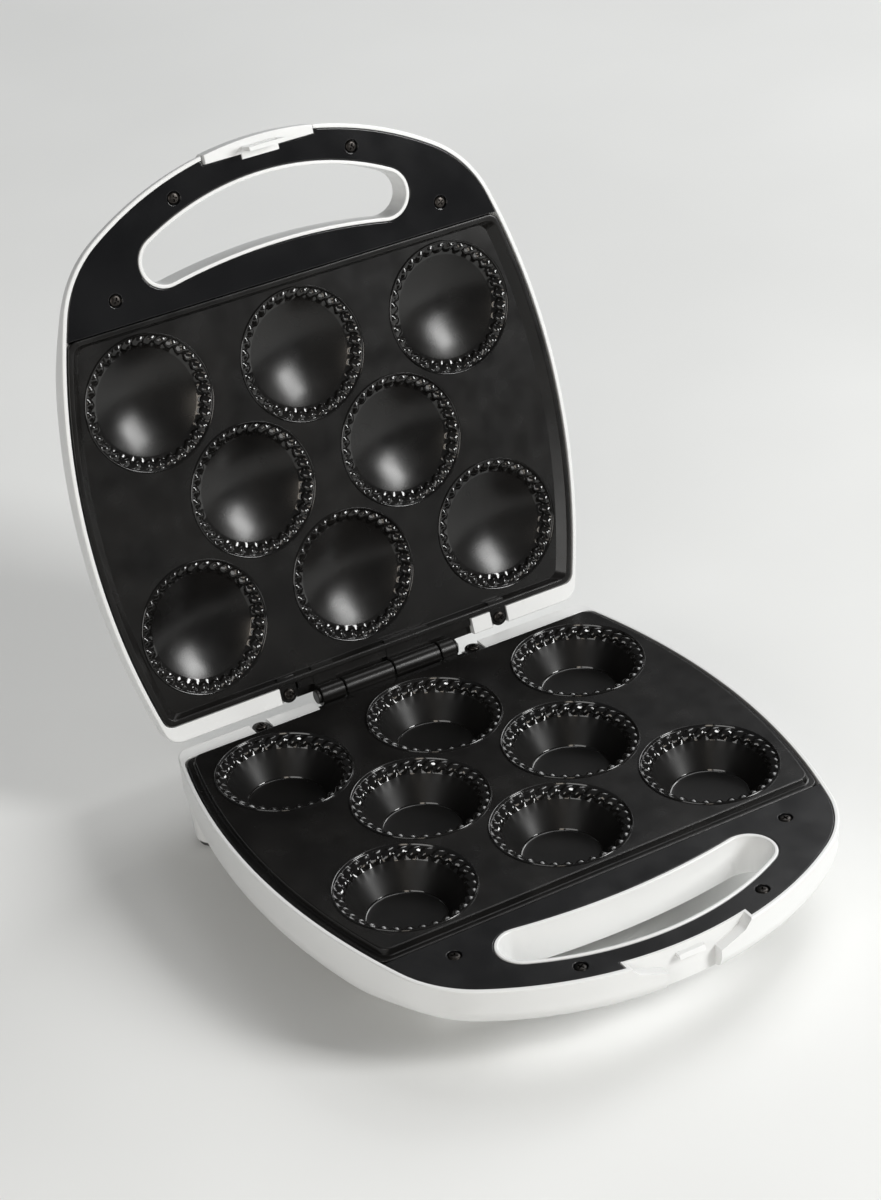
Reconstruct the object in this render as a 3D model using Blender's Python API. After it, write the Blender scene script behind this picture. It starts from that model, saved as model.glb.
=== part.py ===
"""Cupcake maker with eight cups, standing open: a base, a hinged lid and the lid's latch.

Metres, +Z up. X runs along the hinge and the handles point to -Y. Every shape is laid
out with the hinge axis over Y = 0, the table at Z = 0 and the lid shut; an empty on the
hinge axis then turns the lid open. A depth is measured from a shell's rim into it, so
one function serves the base, which goes down from its rim, and the lid, which goes up.
Last, the maker is moved so that the origin lies on the table under the middle of its box.
"""
import math
from types import SimpleNamespace

import bmesh
import bpy
from mathutils import Matrix, Vector

# Gap between pieces that touch, and the length by which a cutter passes a face.
GAP = 0.0003
OVERRUN = 0.0020

# Cups: three in the back row, two in the middle row, three in the front row.
CUP_PITCH = 0.0750
BACK_ROW_FROM_HINGE = 0.0461
MIDDLE_ROW_FROM_HINGE = 0.0977
FRONT_ROW_FROM_HINGE = 0.1486
BEAD_RADIUS = 0.0302
BEAD_WIDTH = 0.0011
BEAD_HEIGHT = 0.0007
FLUTES = 32
FLUTE_MOUTH_RADIUS = 0.0252
FLUTE_RELIEF = 0.0006
FLUTE_DROP = 0.0029
CUP_DEPTH = 0.0160
CUP_FLOOR_RADIUS = 0.0169
CUP_WALL = 0.0023
DOME_DEPTH = 0.0096
DOME_STEP_SHARES = ((0.80, 0.34), (0.40, 0.86))
DOME_BACK_SHARES = ((0.63, 0.76), (0.30, 1.00))

# Plan of the plates and handle panels: two side arcs, a rounded corner and a nose arc.
# The margins lie between the outer cups' beads and the plate's sides and front.
PLATE_BACK_FROM_HINGE = 0.0090
WIDEST_FROM_HINGE = 0.1000
PLATE_SIDE_MARGIN = 0.0128
PLATE_HALF_WIDTH = CUP_PITCH + BEAD_RADIUS + PLATE_SIDE_MARGIN
PLATE_FRONT_MARGIN = 0.0053
PLATE_FRONT_FROM_HINGE = FRONT_ROW_FROM_HINGE + BEAD_RADIUS + PLATE_FRONT_MARGIN
PLATE_BACK_NARROWING = 0.0133
PLATE_FRONT_NARROWING = 0.0117
PLATE_CORNER = 0.0050
NOSE_FROM_HINGE = 0.2450
NOSE_CORNER_FROM_HINGE = 0.17862
NOSE_CORNER_RADIUS = 0.0500

# Plates: a flange that sits in the shell's rim and a field that is raised or sunk.
PLATE_SIDE_GAP = 0.0006
FLANGE_THICKNESS = 0.0028
PLATE_THICKNESS = 0.0032
LOWER_FIELD_RISE = 0.0026
UPPER_FIELD_SINK = 0.0037
LOWER_STEP_INSET = 0.0025
LOWER_FIELD_INSET = 0.0033
UPPER_STEP_INSET = 0.0022
UPPER_FIELD_SIDE_INSET = 0.0080
UPPER_FIELD_END_INSET = 0.0040
PLATE_BACK_INSET = 0.0026
PLATE_BACK_SLOPE = 0.0014

# Shells.
RIM_HEIGHT = 0.0400
SHUT_GAP = 0.0025
RIM_WIDTH = 0.0022
SHELL_BACK_FROM_HINGE = 0.0011
SHELL_CORNER = 0.0080
SHELL_WALL = 0.0022
LOWER_DEPTH = 0.0236
LOWER_SHOULDER = 0.0090
LOWER_PROFILE_SHARES = ((0.0, 0.0), (0.68, 0.07), (0.88, 0.25), (0.97, 0.58), (1.0, 1.0))
LOWER_HANDLE_SHARE = 0.78
UPPER_DEPTH = 0.0275
UPPER_SHOULDER = 0.0110
UPPER_PROFILE_SHARES = ((0.0, 0.0), (0.31, 0.05), (0.49, 0.18), (0.655, 0.5), (0.78, 1.0))
UPPER_CROWN_SHARES = ((0.89, 0.80), (0.96, 0.62), (1.0, 0.42))
UPPER_HANDLE_SHARE = 0.58
HANDLE_BLEND_FROM_HINGE = 0.1650
HANDLE_BLEND_LENGTH = 0.0400
SEAT_DEPTH = 0.0034
SEAT_WIDTH = 0.0020
SEAT_THICKNESS = 0.0030

# Handle opening: a slot between two arcs with round ends, and the liner around it.
OPENING_END_X = 0.0545
OPENING_END_FROM_HINGE = 0.2063
OPENING_END_RADIUS = 0.0102
OPENING_FAR_FROM_HINGE = 0.2012
OPENING_NEAR_FROM_HINGE = 0.2299
LINER_WALL = 0.0017

# Hinge.
HINGE_ABOVE_RIM = 0.00045
OPEN_ANGLE = 107.3
KNUCKLE_RADIUS = 0.00465
KNUCKLE_BORE = 0.0023
WEB_THICKNESS = 0.0018
APRON_CLEARANCE = 0.0009
LOWER_KNUCKLES = ((-0.0200, 0.0045), (0.0293, 0.0368))
UPPER_KNUCKLES = ((-0.0323, -0.0208), (0.0053, 0.0285))
PIN_RADIUS = 0.0020
PIN_HEAD_RADIUS = 0.0033
PIN_HEAD_THICKNESS = 0.0015
PIN_END_PAST_CLIP = 0.0012
CLIP_RADIUS = 0.0040
CLIP_THICKNESS = 0.0010
NOTCH_MARGIN = 0.0030
NOTCH_CLEARANCE = 0.0009

# Screws, and the tabs that hold the plates.
SCREW_HEAD_RADIUS = 0.00265
SCREW_HEAD_HEIGHT = 0.0010
SCREW_HEAD_EDGE = 0.0005
SCREW_CROWN_RADIUS = 0.0017
SCREW_RADIUS = 0.0014
SCREW_LENGTH = 0.0068
PILOT_RADIUS = 0.0018
PILOT_DEPTH = 0.0090
COLUMN_RADIUS = 0.0040
COUNTERBORE_RADIUS = 0.0031
COUNTERBORE_DEPTH = 0.0014
PANEL_SCREW_FAR = (0.08025, 0.1958)
PANEL_SCREW_NEAR = (0.0435, 0.2307)
TAB_FROM_HINGE = 0.0050
TAB_RADIUS = 0.0041
TAB_SIDE_X = 0.0645
TAB_INNER_X = 0.0450

# Latch lever on the lid, its pins, and the lid's pocket for it.
LATCH_HALF_WIDTH = 0.0264
LATCH_LIP = 0.0015
LATCH_BACK_FROM_HINGE = 0.2409
LATCH_HEEL_FROM_HINGE = 0.2393
LATCH_HEEL_DEPTHS = (0.0034, 0.0044)
LATCH_DEPTH = 0.0079
LATCH_BEVEL = 0.0012
LATCH_PIN_FROM_HINGE = 0.2412
LATCH_PIN_DEPTH = 0.0055
LATCH_PIN_RADIUS = 0.0008
LATCH_PIN_ENDS = (0.0240, 0.0296)
LID_POCKET_HALF_WIDTH = 0.0273
LID_POCKET_EDGE_FROM_HINGE = 0.2405
LID_POCKET_BACK_FROM_HINGE = 0.2376
LID_POCKET_DEPTH = 0.0096
LID_POCKET_CHEEK = 0.0037
POCKET_WALL = 0.0012

# Hook on the lever, and the pocket and catch in the base.
HOOK_HALF_WIDTH = 0.0086
HOOK_REACH = 0.0100
HOOK_OUTER_FROM_HINGE = 0.2440
HOOK_INNER_FROM_HINGE = 0.2422
HOOK_WINDOW_HALF_WIDTH = 0.0067
HOOK_WINDOW_DEPTHS = (0.0054, 0.0080)
BASE_POCKET_SET = 0.0031
BASE_POCKET_RIM = 0.0009
BASE_POCKET_HALF_WIDTH = 0.0286
BASE_POCKET_STEPS = ((0.0040, 0.0253), (0.0080, 0.0127))
CATCH_HALF_WIDTH = 0.0062
CATCH_TOP_DEPTH = 0.0034
CATCH_THICKNESS = 0.0018
CATCH_RAMP = 0.0010

# Legs and feet.
LEG_BACK = (0.0980, 0.0165)
LEG_FRONT = (0.0870, 0.1520)
LEG_TOP_RADIUS = 0.0095
LEG_FOOT_RADIUS = 0.0080
LEG_OVERLAP = 0.0056
FOOT_RADIUS = 0.0066
FOOT_HEIGHT = 0.0024

# Heating and wiring pieces inside the shells.
ELEMENT_RADIUS = 0.0026
ELEMENT_SIDE_INSET = 0.0070
ELEMENT_END_INSET = 0.0063
ELEMENT_BEND = 0.0100
ELEMENT_LEAD_X = 0.0140
ELEMENT_LEAD_LENGTH = 0.0060
REFLECTOR_SIDE_INSET = 0.0110
REFLECTOR_END_INSET = 0.0120
REFLECTOR_THICKNESS = 0.0008
REFLECTOR_RIM = 0.0030
THERMOSTAT_RADIUS = 0.0080
THERMOSTAT_HEIGHT = 0.0065
BLADE_SIZE = (0.0048, 0.0008, 0.0060)
BLADE_X = 0.0045
FUSE_RADIUS = 0.0020
FUSE_LENGTH = 0.0120
FUSE_FROM_HINGE = 0.0815
BLOCK_SIZE = (0.0200, 0.0065, 0.0090)
BLOCK_X = 0.0600
BLOCK_FROM_HINGE = 0.0170
GLAND_FROM_SIDE = 0.0380
GLAND_X = PLATE_HALF_WIDTH - GLAND_FROM_SIDE
GLAND_DEPTH = 0.0130
GLAND_RADIUS = 0.0047
GLAND_BORE = 0.0034
GLAND_FLANGE = 0.0062
GLAND_FLANGE_THICKNESS = 0.0018
GLAND_GRIP = 0.0052
VENTS = 5
VENT_PITCH = 0.0200
VENT_SIZE = (0.0030, 0.0240)

# Indicator lamps in the lid.
LAMP_X = 0.0090
LAMP_FROM_HINGE = 0.1500
LENS_RADIUS = 0.0032
LENS_FLANGE = 0.0042
LENS_CROWN = 0.0016
LENS_STEM = 0.0030
BOARD_SIZE = (0.0400, 0.0110, 0.0014)
BOARD_BELOW_CEILING = 0.0058
BOARD_COLUMN_X = 0.0160
NEON_RADIUS = 0.0022
NEON_LENGTH = 0.0044

# Facets around the round pieces.
ROUND = 20
SMALL_ROUND = 12
TUBE_ROUND = 8
SCREW_ROUND = 10


def clear_scene():
    """Removes whatever the opened file holds."""
    for item in list(bpy.data.objects):
        bpy.data.objects.remove(item, do_unlink=True)


def make_material(name, colour, roughness, metallic=0.0):
    """A Principled material with one colour, roughness and metallic value."""
    material = bpy.data.materials.new(name)
    material.use_nodes = True
    shader = material.node_tree.nodes["Principled BSDF"]
    shader.inputs["Base Color"].default_value = (*colour, 1.0)
    shader.inputs["Roughness"].default_value = roughness
    shader.inputs["Metallic"].default_value = metallic
    return material


def make_materials():
    """Every finish on the maker."""
    return SimpleNamespace(
        shell=make_material("white_plastic", (0.83, 0.84, 0.83), 0.32),
        panel=make_material("black_plastic", (0.018, 0.018, 0.019), 0.38),
        plate=make_material("black_non_stick", (0.022, 0.021, 0.021), 0.42, 0.2),
        screw=make_material("dark_screw", (0.09, 0.07, 0.06), 0.45, 0.8),
        pin=make_material("black_steel", (0.06, 0.06, 0.06), 0.40, 0.8),
        rubber=make_material("grey_rubber", (0.12, 0.12, 0.12), 0.85),
        element=make_material("element_steel", (0.30, 0.29, 0.28), 0.45, 0.9),
        aluminium=make_material("aluminium_sheet", (0.75, 0.76, 0.77), 0.30, 1.0),
        ceramic=make_material("ceramic", (0.80, 0.78, 0.72), 0.60),
        board=make_material("lamp_board", (0.45, 0.33, 0.18), 0.60),
        red=make_material("red_lens", (0.55, 0.03, 0.02), 0.20),
        green=make_material("green_lens", (0.04, 0.38, 0.08), 0.20),
        neon=make_material("neon_glass", (0.75, 0.62, 0.50), 0.15),
    )


def place(name, mesh, parent, material=None):
    """Links a mesh as a named object under a parent, keeping its coordinates."""
    item = bpy.data.objects.new(name, mesh)
    bpy.context.scene.collection.objects.link(item)
    item.parent = parent
    if material is not None:
        mesh.materials.append(material)
    return item


def finish_mesh(shape, name, smooth_angle=None):
    """Turns the faces outward and writes the shape to a new mesh."""
    bmesh.ops.recalc_face_normals(shape, faces=shape.faces)
    mesh = bpy.data.meshes.new(name)
    shape.to_mesh(mesh)
    shape.free()
    if smooth_angle is not None:
        mesh.shade_smooth()
        mesh.set_sharp_from_angle(angle=math.radians(smooth_angle))
    return mesh


def bridge(shape, first, second):
    """Faces between two rings with equal counts, or with one count twice the other."""
    if len(first) > len(second):
        first, second = second, first
    count = len(first)
    for i in range(count):
        here, after = first[i], first[(i + 1) % count]
        if len(second) == count:
            shape.faces.new((here, after, second[(i + 1) % count], second[i]))
            continue
        left, middle, right = (second[(2 * i + k) % (2 * count)] for k in range(3))
        shape.faces.new((here, left, middle))
        shape.faces.new((here, middle, after))
        shape.faces.new((after, middle, right))


def cap_across(shape, ring):
    """Closes a mirrored ring with strips that run straight across it."""
    first, last = 0, len(ring) - 1
    while last - first > 1:
        corners = ring[first : first + 2] + ring[last - 1 : last + 1]
        shape.faces.new(dict.fromkeys(corners))
        first, last = first + 1, last - 1


def add_loft(shape, loops):
    """One closed body through a list of rings, capped at both ends."""
    rings = [[shape.verts.new(point) for point in loop] for loop in loops]
    for first, second in zip(rings, rings[1:]):
        bridge(shape, first, second)
    for ring in (rings[0], rings[-1]):
        heights = [vertex.co.z for vertex in ring]
        uneven = max(heights) - min(heights) > GAP
        if uneven and abs(ring[0].co.x + ring[-1].co.x) < GAP:
            cap_across(shape, ring)
        else:
            shape.faces.new(ring)


def loft_mesh(name, bodies, smooth_angle=None):
    """A mesh of separate closed bodies, each a list of rings."""
    shape = bmesh.new()
    for loops in bodies:
        add_loft(shape, loops)
    return finish_mesh(shape, name, smooth_angle)


def boolean(target, tool, operation="DIFFERENCE"):
    """Cuts a tool from a target, or joins it on, and hides the tool."""
    change = target.modifiers.new(tool.name, "BOOLEAN")
    change.operation = operation
    change.object = tool
    tool.hide_render = True
    tool.display_type = "WIRE"


def circle(x, y, radius, z, count=ROUND):
    """A ring around the vertical through (x, y)."""
    step = 2 * math.pi / count
    return [
        (x + radius * math.cos(step * i), y + radius * math.sin(step * i), z)
        for i in range(count)
    ]


def ring_about_x(x, y, z, radius, count=ROUND):
    """A ring around a line along X through (y, z)."""
    step = 2 * math.pi / count
    return [
        (x, y + radius * math.cos(step * i), z + radius * math.sin(step * i))
        for i in range(count)
    ]


def ring_about_y(x, y, z, radius, count=ROUND):
    """A ring around a line along Y through (x, z)."""
    step = 2 * math.pi / count
    return [
        (x + radius * math.cos(step * i), y, z + radius * math.sin(step * i))
        for i in range(count)
    ]


def tube_rings(path, radius):
    """Rings across a path, each carried on from the one before without twisting."""
    side = Vector((0.0, 1.0, 0.0))
    rings = []
    step = 2 * math.pi / TUBE_ROUND
    for i, point in enumerate(path):
        along = (path[min(i + 1, len(path) - 1)] - path[max(i - 1, 0)]).normalized()
        side = (side - along * side.dot(along)).normalized()
        up = along.cross(side)
        turns = [step * k for k in range(TUBE_ROUND)]
        rings.append([point + radius * (math.cos(a) * side + math.sin(a) * up) for a in turns])
    return rings


def box(low, high):
    """The two rings of a box between two corners."""
    (x0, y0, z0), (x1, y1, z1) = low, high
    corners = ((x0, y0), (x1, y0), (x1, y1), (x0, y1))
    return [[(x, y, z) for x, y in corners] for z in (z0, z1)]


def arc(centre, radius, start, end, steps):
    """Points of an arc in plan, both ends included."""
    angles = [start + (end - start) * i / steps for i in range(steps + 1)]
    return [(centre[0] + radius * math.cos(a), centre[1] + radius * math.sin(a)) for a in angles]


def chord_radius(drop, run):
    """Radius of an arc that drops this far over this run from its widest point."""
    return (run * run + drop * drop) / (2 * drop)


def corner_centre():
    """Middle of the nose's corner arc, which touches the side arc from inside."""
    reach = SIDE_ARC - NOSE_CORNER_RADIUS
    ahead = NOSE_CORNER_FROM_HINGE - WIDEST_FROM_HINGE
    return SIDE_CENTRE[0] + math.sqrt(reach**2 - ahead**2), -NOSE_CORNER_FROM_HINGE


def nose_radius():
    """Radius of the nose's arc, which takes in the corner arcs and the nose's tip."""
    ahead = NOSE_FROM_HINGE - NOSE_CORNER_FROM_HINGE
    over = CORNER_CENTRE[0] ** 2 + ahead**2 - NOSE_CORNER_RADIUS**2
    return over / (2 * (ahead - NOSE_CORNER_RADIUS))


WIDEST = -WIDEST_FROM_HINGE
BACK_ARC = chord_radius(PLATE_BACK_NARROWING, WIDEST_FROM_HINGE - PLATE_BACK_FROM_HINGE)
SIDE_ARC = chord_radius(PLATE_FRONT_NARROWING, PLATE_FRONT_FROM_HINGE - WIDEST_FROM_HINGE)
BACK_CENTRE = (PLATE_HALF_WIDTH - BACK_ARC, WIDEST)
SIDE_CENTRE = (PLATE_HALF_WIDTH - SIDE_ARC, WIDEST)
CORNER_CENTRE = corner_centre()
NOSE_RADIUS = nose_radius()
NOSE_CENTRE = (0.0, NOSE_RADIUS - NOSE_FROM_HINGE)


def bearing(origin, point):
    """Angle from one point of the plan to another."""
    return math.atan2(point[1] - origin[1], point[0] - origin[0])


def mirrored(half):
    """A whole outline from its right half, which may end on the middle line."""
    left = [(-x, y) for x, y in reversed(half) if x > GAP]
    return half + left


def back_and_sides(spread, back, corner):
    """Right half from the back edge round its corner to the widest point."""
    y = -back - corner
    reach = BACK_ARC + spread - corner
    x = BACK_CENTRE[0] + math.sqrt(reach**2 - (y - WIDEST) ** 2)
    tangent = bearing(BACK_CENTRE, (x, y))
    points = arc((x, y), corner, math.pi / 2, tangent, 3)
    points += arc(BACK_CENTRE, BACK_ARC + spread, tangent, 0.0, 4)[1:]
    return points


def nose(spread, inner_x=0.0):
    """Right half from the end of the side arc round the corner and along the nose."""
    side_end = bearing(SIDE_CENTRE, CORNER_CENTRE)
    nose_start = bearing(NOSE_CENTRE, CORNER_CENTRE)
    radius = NOSE_RADIUS + spread
    nose_end = -math.acos(inner_x / radius)
    points = arc(CORNER_CENTRE, NOSE_CORNER_RADIUS + spread, side_end, nose_start, 4)
    points += arc(NOSE_CENTRE, radius, nose_start, nose_end, 9)[1:]
    return points


def shell_outline(inset):
    """Whole outline of a shell, moved inward by an inset."""
    spread = RIM_WIDTH - inset
    corner = max(SHELL_CORNER - inset, SHELL_CORNER / 4)
    half = back_and_sides(spread, SHELL_BACK_FROM_HINGE + inset, corner)
    half += arc(SIDE_CENTRE, SIDE_ARC + spread, 0.0, bearing(SIDE_CENTRE, CORNER_CENTRE), 5)[1:-1]
    return mirrored(half + nose(spread))


def seat_outline(inset):
    """Whole outline of the recess that holds the plate and the handle panel."""
    spread = GAP - inset
    corner = PLATE_CORNER + GAP - min(inset, PLATE_CORNER / 2)
    half = back_and_sides(spread, PLATE_BACK_FROM_HINGE - GAP + inset, corner)
    half += arc(SIDE_CENTRE, SIDE_ARC + spread, 0.0, bearing(SIDE_CENTRE, CORNER_CENTRE), 5)[1:-1]
    return mirrored(half + nose(spread))


def plate_outline(side_inset, end_inset, corner=PLATE_CORNER):
    """Whole outline of a plate, moved inward at its sides and at its ends."""
    spread = -PLATE_SIDE_GAP - side_inset
    half = back_and_sides(spread, PLATE_BACK_FROM_HINGE + end_inset, corner)
    y = corner - PLATE_FRONT_FROM_HINGE + end_inset
    reach = SIDE_ARC + spread - corner
    x = SIDE_CENTRE[0] + math.sqrt(reach**2 - (y - WIDEST) ** 2)
    tangent = bearing(SIDE_CENTRE, (x, y))
    half += arc(SIDE_CENTRE, SIDE_ARC + spread, 0.0, tangent, 5)[1:]
    half += arc((x, y), corner, tangent, -math.pi / 2, 3)[1:]
    return mirrored(half)


def panel_outline(half):
    """Whole outline of a handle panel, with the notch in its nose for the latch."""
    back = -PLATE_FRONT_FROM_HINGE - GAP
    start = math.asin((back - WIDEST) / SIDE_ARC)
    points = arc(SIDE_CENTRE, SIDE_ARC, start, bearing(SIDE_CENTRE, CORNER_CENTRE), 1)[:-1]
    return mirrored(points + nose(0.0, half.notch_half_width) + half.notch())


def lower_notch():
    """Right half of the base panel's notch, an arc behind the pocket's rim."""
    radius = NOSE_RADIUS - BASE_POCKET_SET - BASE_POCKET_RIM - GAP
    return arc(NOSE_CENTRE, radius, -math.acos(LOWER_NOTCH_HALF_WIDTH / radius), -math.pi / 2, 3)


def upper_notch():
    """Right half of the lid panel's notch, straight behind the latch lever."""
    return [(LID_POCKET_HALF_WIDTH, -LID_POCKET_EDGE_FROM_HINGE), (0.0, -LID_POCKET_EDGE_FROM_HINGE)]


def opening_outline(spread):
    """The handle opening's outline, made wider all round by a spread."""
    ex, ey, er = OPENING_END_X, -OPENING_END_FROM_HINGE, OPENING_END_RADIUS
    near_gap = ey + OPENING_NEAR_FROM_HINGE
    near = (ex**2 + near_gap**2 - er**2) / (2 * (near_gap - er))
    far_gap = ey + OPENING_FAR_FROM_HINGE
    far = (ex**2 + far_gap**2 - er**2) / (2 * (er + far_gap))
    near_centre = (0.0, near - OPENING_NEAR_FROM_HINGE)
    far_centre = (0.0, far - OPENING_FAR_FROM_HINGE)
    end = (ex, ey)
    far_angle = bearing(far_centre, end)
    near_angle = bearing(near_centre, end)
    right = arc(end, er + spread, far_angle + math.pi, near_angle, 6)
    left = [(-x, y) for x, y in reversed(right)]
    near_side = arc(near_centre, near + spread, near_angle, -math.pi - near_angle, 9)[1:-1]
    far_side = arc(far_centre, far - spread, -math.pi - far_angle, far_angle, 5)[1:-1]
    return right + near_side + left + far_side


def nose_arc(spread, half_width, steps=5):
    """The nose's arc at a spread, from one side to the other."""
    radius = NOSE_RADIUS + spread
    end = math.asin(half_width / radius)
    return arc(NOSE_CENTRE, radius, -math.pi / 2 - end, -math.pi / 2 + end, steps)


def nose_band(outer, inner, half_width, steps=5):
    """A closed strip of the nose between two spreads."""
    return nose_arc(outer, half_width, steps) + nose_arc(inner, half_width, steps)[::-1]


def nose_block(outer, back, half_width):
    """A closed piece of the nose with a straight back."""
    return nose_arc(outer, half_width) + [(half_width, -back), (-half_width, -back)]


def flat(points, z):
    """A plan outline as a ring at one height."""
    return [(x, y, z) for x, y in points]


def shrunk(points, share):
    """An outline drawn in towards the middle of the plates."""
    return [(x * share, WIDEST + (y - WIDEST) * share) for x, y in points]


def cup_places():
    """Middles of the eight cups."""
    middle = [(s * CUP_PITCH / 2, -MIDDLE_ROW_FROM_HINGE) for s in (-1, 1)]
    rows = (BACK_ROW_FROM_HINGE, FRONT_ROW_FROM_HINGE)
    return [(k * CUP_PITCH, -row) for row in rows for k in (-1, 0, 1)] + middle


def panel_screw_places():
    """Middles of a handle panel's four screws."""
    spots = (PANEL_SCREW_FAR, PANEL_SCREW_NEAR)
    return [(s * x, -y) for x, y in spots for s in (-1, 1)]


def tab_places(half):
    """Middles of a plate's two screw tabs; the lid's lie the other way round."""
    return [(-half.turn * TAB_SIDE_X, -TAB_FROM_HINGE), (half.turn * TAB_INNER_X, -TAB_FROM_HINGE)]


def thinning(half, y):
    """Share of the shell's depth at this place: 1 over the plates, less at the handle."""
    t = (-y - HANDLE_BLEND_FROM_HINGE) / HANDLE_BLEND_LENGTH
    t = min(max(t, 0.0), 1.0)
    return 1.0 - (1.0 - half.handle_share) * t * t * (3 - 2 * t)


def level(half, points, depth, wall, least):
    """A ring of a shell at a nominal depth, less a wall, thinned at the handle."""
    depths = [max(depth * thinning(half, y) - wall, least) for x, y in points]
    return [(x, y, at(half, d)) for (x, y), d in zip(points, depths)]


def shell_levels(half, wall=0.0, least=0.0):
    """Rings of a shell's outside, or of its inside below a least depth where a wall is given."""
    rings = []
    last = None
    for depth_share, inset_share in half.profile:
        last = shell_outline(half.shoulder * inset_share + wall)
        rings.append(level(half, last, half.depth * depth_share, wall, least))
        least += GAP
    for depth_share, width_share in half.crown:
        rings.append(level(half, shrunk(last, width_share), half.depth * depth_share, wall, least))
        least += GAP
    return rings


def at(half, depth):
    """Height of a depth below the base's rim, or above the lid's."""
    return half.rim + half.way * depth


def column(half, x, y, radius, top, bottom, count=SMALL_ROUND):
    """A round column or hole between two depths of a shell."""
    return [circle(x, y, radius, at(half, top), count), circle(x, y, radius, at(half, bottom), count)]


def make_cavity(half):
    """Tool for the hollow of a shell: seat, throat and inside, less liner and columns."""
    seat = seat_outline(0.0)
    throat = seat_outline(SEAT_WIDTH)
    throat_depth = SEAT_DEPTH + SEAT_THICKNESS
    inside = shell_levels(half, SHELL_WALL, throat_depth)
    start = [(x, y, at(half, throat_depth)) for x, y, z in inside[1]]
    loops = [
        flat(seat, at(half, -OVERRUN)),
        flat(seat, at(half, SEAT_DEPTH)),
        flat(throat, at(half, SEAT_DEPTH)),
        flat(throat, at(half, throat_depth)),
        start,
    ]
    tool = place(f"cut_{half.name}_cavity", loft_mesh("cavity", [loops + inside[2:]]), half.parent)
    deep = half.depth + OVERRUN
    liner = opening_outline(LINER_WALL)
    keep = [[flat(liner, at(half, -2 * OVERRUN)), flat(liner, at(half, deep))]]
    for x, y in panel_screw_places() + tab_places(half):
        keep.append(column(half, x, y, COLUMN_RADIUS, SEAT_DEPTH + GAP, deep))
    keep += half.kept(half, deep)
    for number, body in enumerate(keep):
        keeper = place(f"keep_{half.name}_{number}", loft_mesh("keep", [body]), half.parent)
        boolean(tool, keeper)
    return tool


def hinge_notch():
    """Both ends of the notches in the shells' rims, past the pin's head and clip."""
    left = UPPER_KNUCKLES[0][0] - PIN_HEAD_THICKNESS - NOTCH_MARGIN
    right = LOWER_KNUCKLES[1][1] + CLIP_THICKNESS + NOTCH_MARGIN
    return left, right


def make_shell(half, finishes):
    """One shell: outer skin, hollow, latch pocket, handle opening, hinge notch, pilot holes."""
    shell = place(
        f"{half.name}_shell", loft_mesh("shell", [shell_levels(half)], 40), half.parent, finishes.shell
    )
    for number, body in enumerate(half.added_first(half)):
        tool = place(f"add_{half.name}_{number}", loft_mesh("add", [body]), half.parent)
        boolean(shell, tool, "UNION")
    boolean(shell, make_cavity(half))
    low = at(half, -OVERRUN)
    opening = opening_outline(0.0)
    left, right = hinge_notch()
    barrel_depth = (HINGE_Z - half.rim) * half.way + KNUCKLE_RADIUS + NOTCH_CLEARANCE
    notch = box(
        (left, -PLATE_BACK_FROM_HINGE - OVERRUN, low), (right, OVERRUN, at(half, barrel_depth))
    )
    cuts = [[flat(opening, low), flat(opening, at(half, half.depth + OVERRUN))], notch]
    tab_room = TAB_RADIUS + GAP
    for x, y in tab_places(half):
        corner = (x - tab_room, -PLATE_BACK_FROM_HINGE - OVERRUN, low)
        cuts.append(box(corner, (x + tab_room, OVERRUN, at(half, SEAT_DEPTH - GAP / 2))))
        cuts.append(column(half, x, y, PILOT_RADIUS, SEAT_DEPTH - OVERRUN, PILOT_DEPTH))
    for x, y in panel_screw_places():
        cuts.append(column(half, x, y, PILOT_RADIUS, SEAT_DEPTH - OVERRUN, PILOT_DEPTH))
    cuts += half.extra_cuts(half)
    for number, body in enumerate(cuts):
        tool = place(f"cut_{half.name}_{number}", loft_mesh("cut", [body]), half.parent)
        boolean(shell, tool)
    for number, body in enumerate(half.added_last(half)):
        tool = place(f"add_{half.name}_late_{number}", loft_mesh("add", [body]), half.parent)
        boolean(shell, tool, "UNION")
    return shell


def cup_void(half, x, y):
    """Rings of one cup's or dome's hollow, fluted around its mouth."""
    bead = half.field - BEAD_HEIGHT
    mouth = BEAD_RADIUS - BEAD_WIDTH
    flutes = []
    step = math.pi / FLUTES
    for i in range(2 * FLUTES):
        relief = FLUTE_RELIEF if i % 2 else -FLUTE_RELIEF
        angle = step * (i + 1 / 2)
        radius = FLUTE_MOUTH_RADIUS + relief
        depth = bead + FLUTE_DROP - relief
        flutes.append((x + radius * math.cos(angle), y + radius * math.sin(angle), at(half, depth)))
    slope = (mouth - FLUTE_MOUTH_RADIUS) / FLUTE_DROP
    rings = [
        circle(x, y, mouth + slope * BEAD_HEIGHT, at(half, bead - BEAD_HEIGHT), FLUTES),
        circle(x, y, mouth, at(half, bead), FLUTES),
        flutes,
    ]
    return rings + half.cup_inside(half, x, y, bead)


def lower_cup_inside(half, x, y, bead):
    """Floor ring of a conical cup."""
    return [circle(x, y, CUP_FLOOR_RADIUS, at(half, bead + CUP_DEPTH), FLUTES)]


def upper_cup_inside(half, x, y, bead):
    """Rings of a shallow dome."""
    rings = []
    for number, (radius_share, depth_share) in enumerate(DOME_STEP_SHARES):
        depth = bead + FLUTE_DROP + (DOME_DEPTH - FLUTE_DROP) * depth_share
        radius = FLUTE_MOUTH_RADIUS * radius_share
        rings.append(circle(x, y, radius, at(half, depth), FLUTES // 2**number))
    return rings


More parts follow.
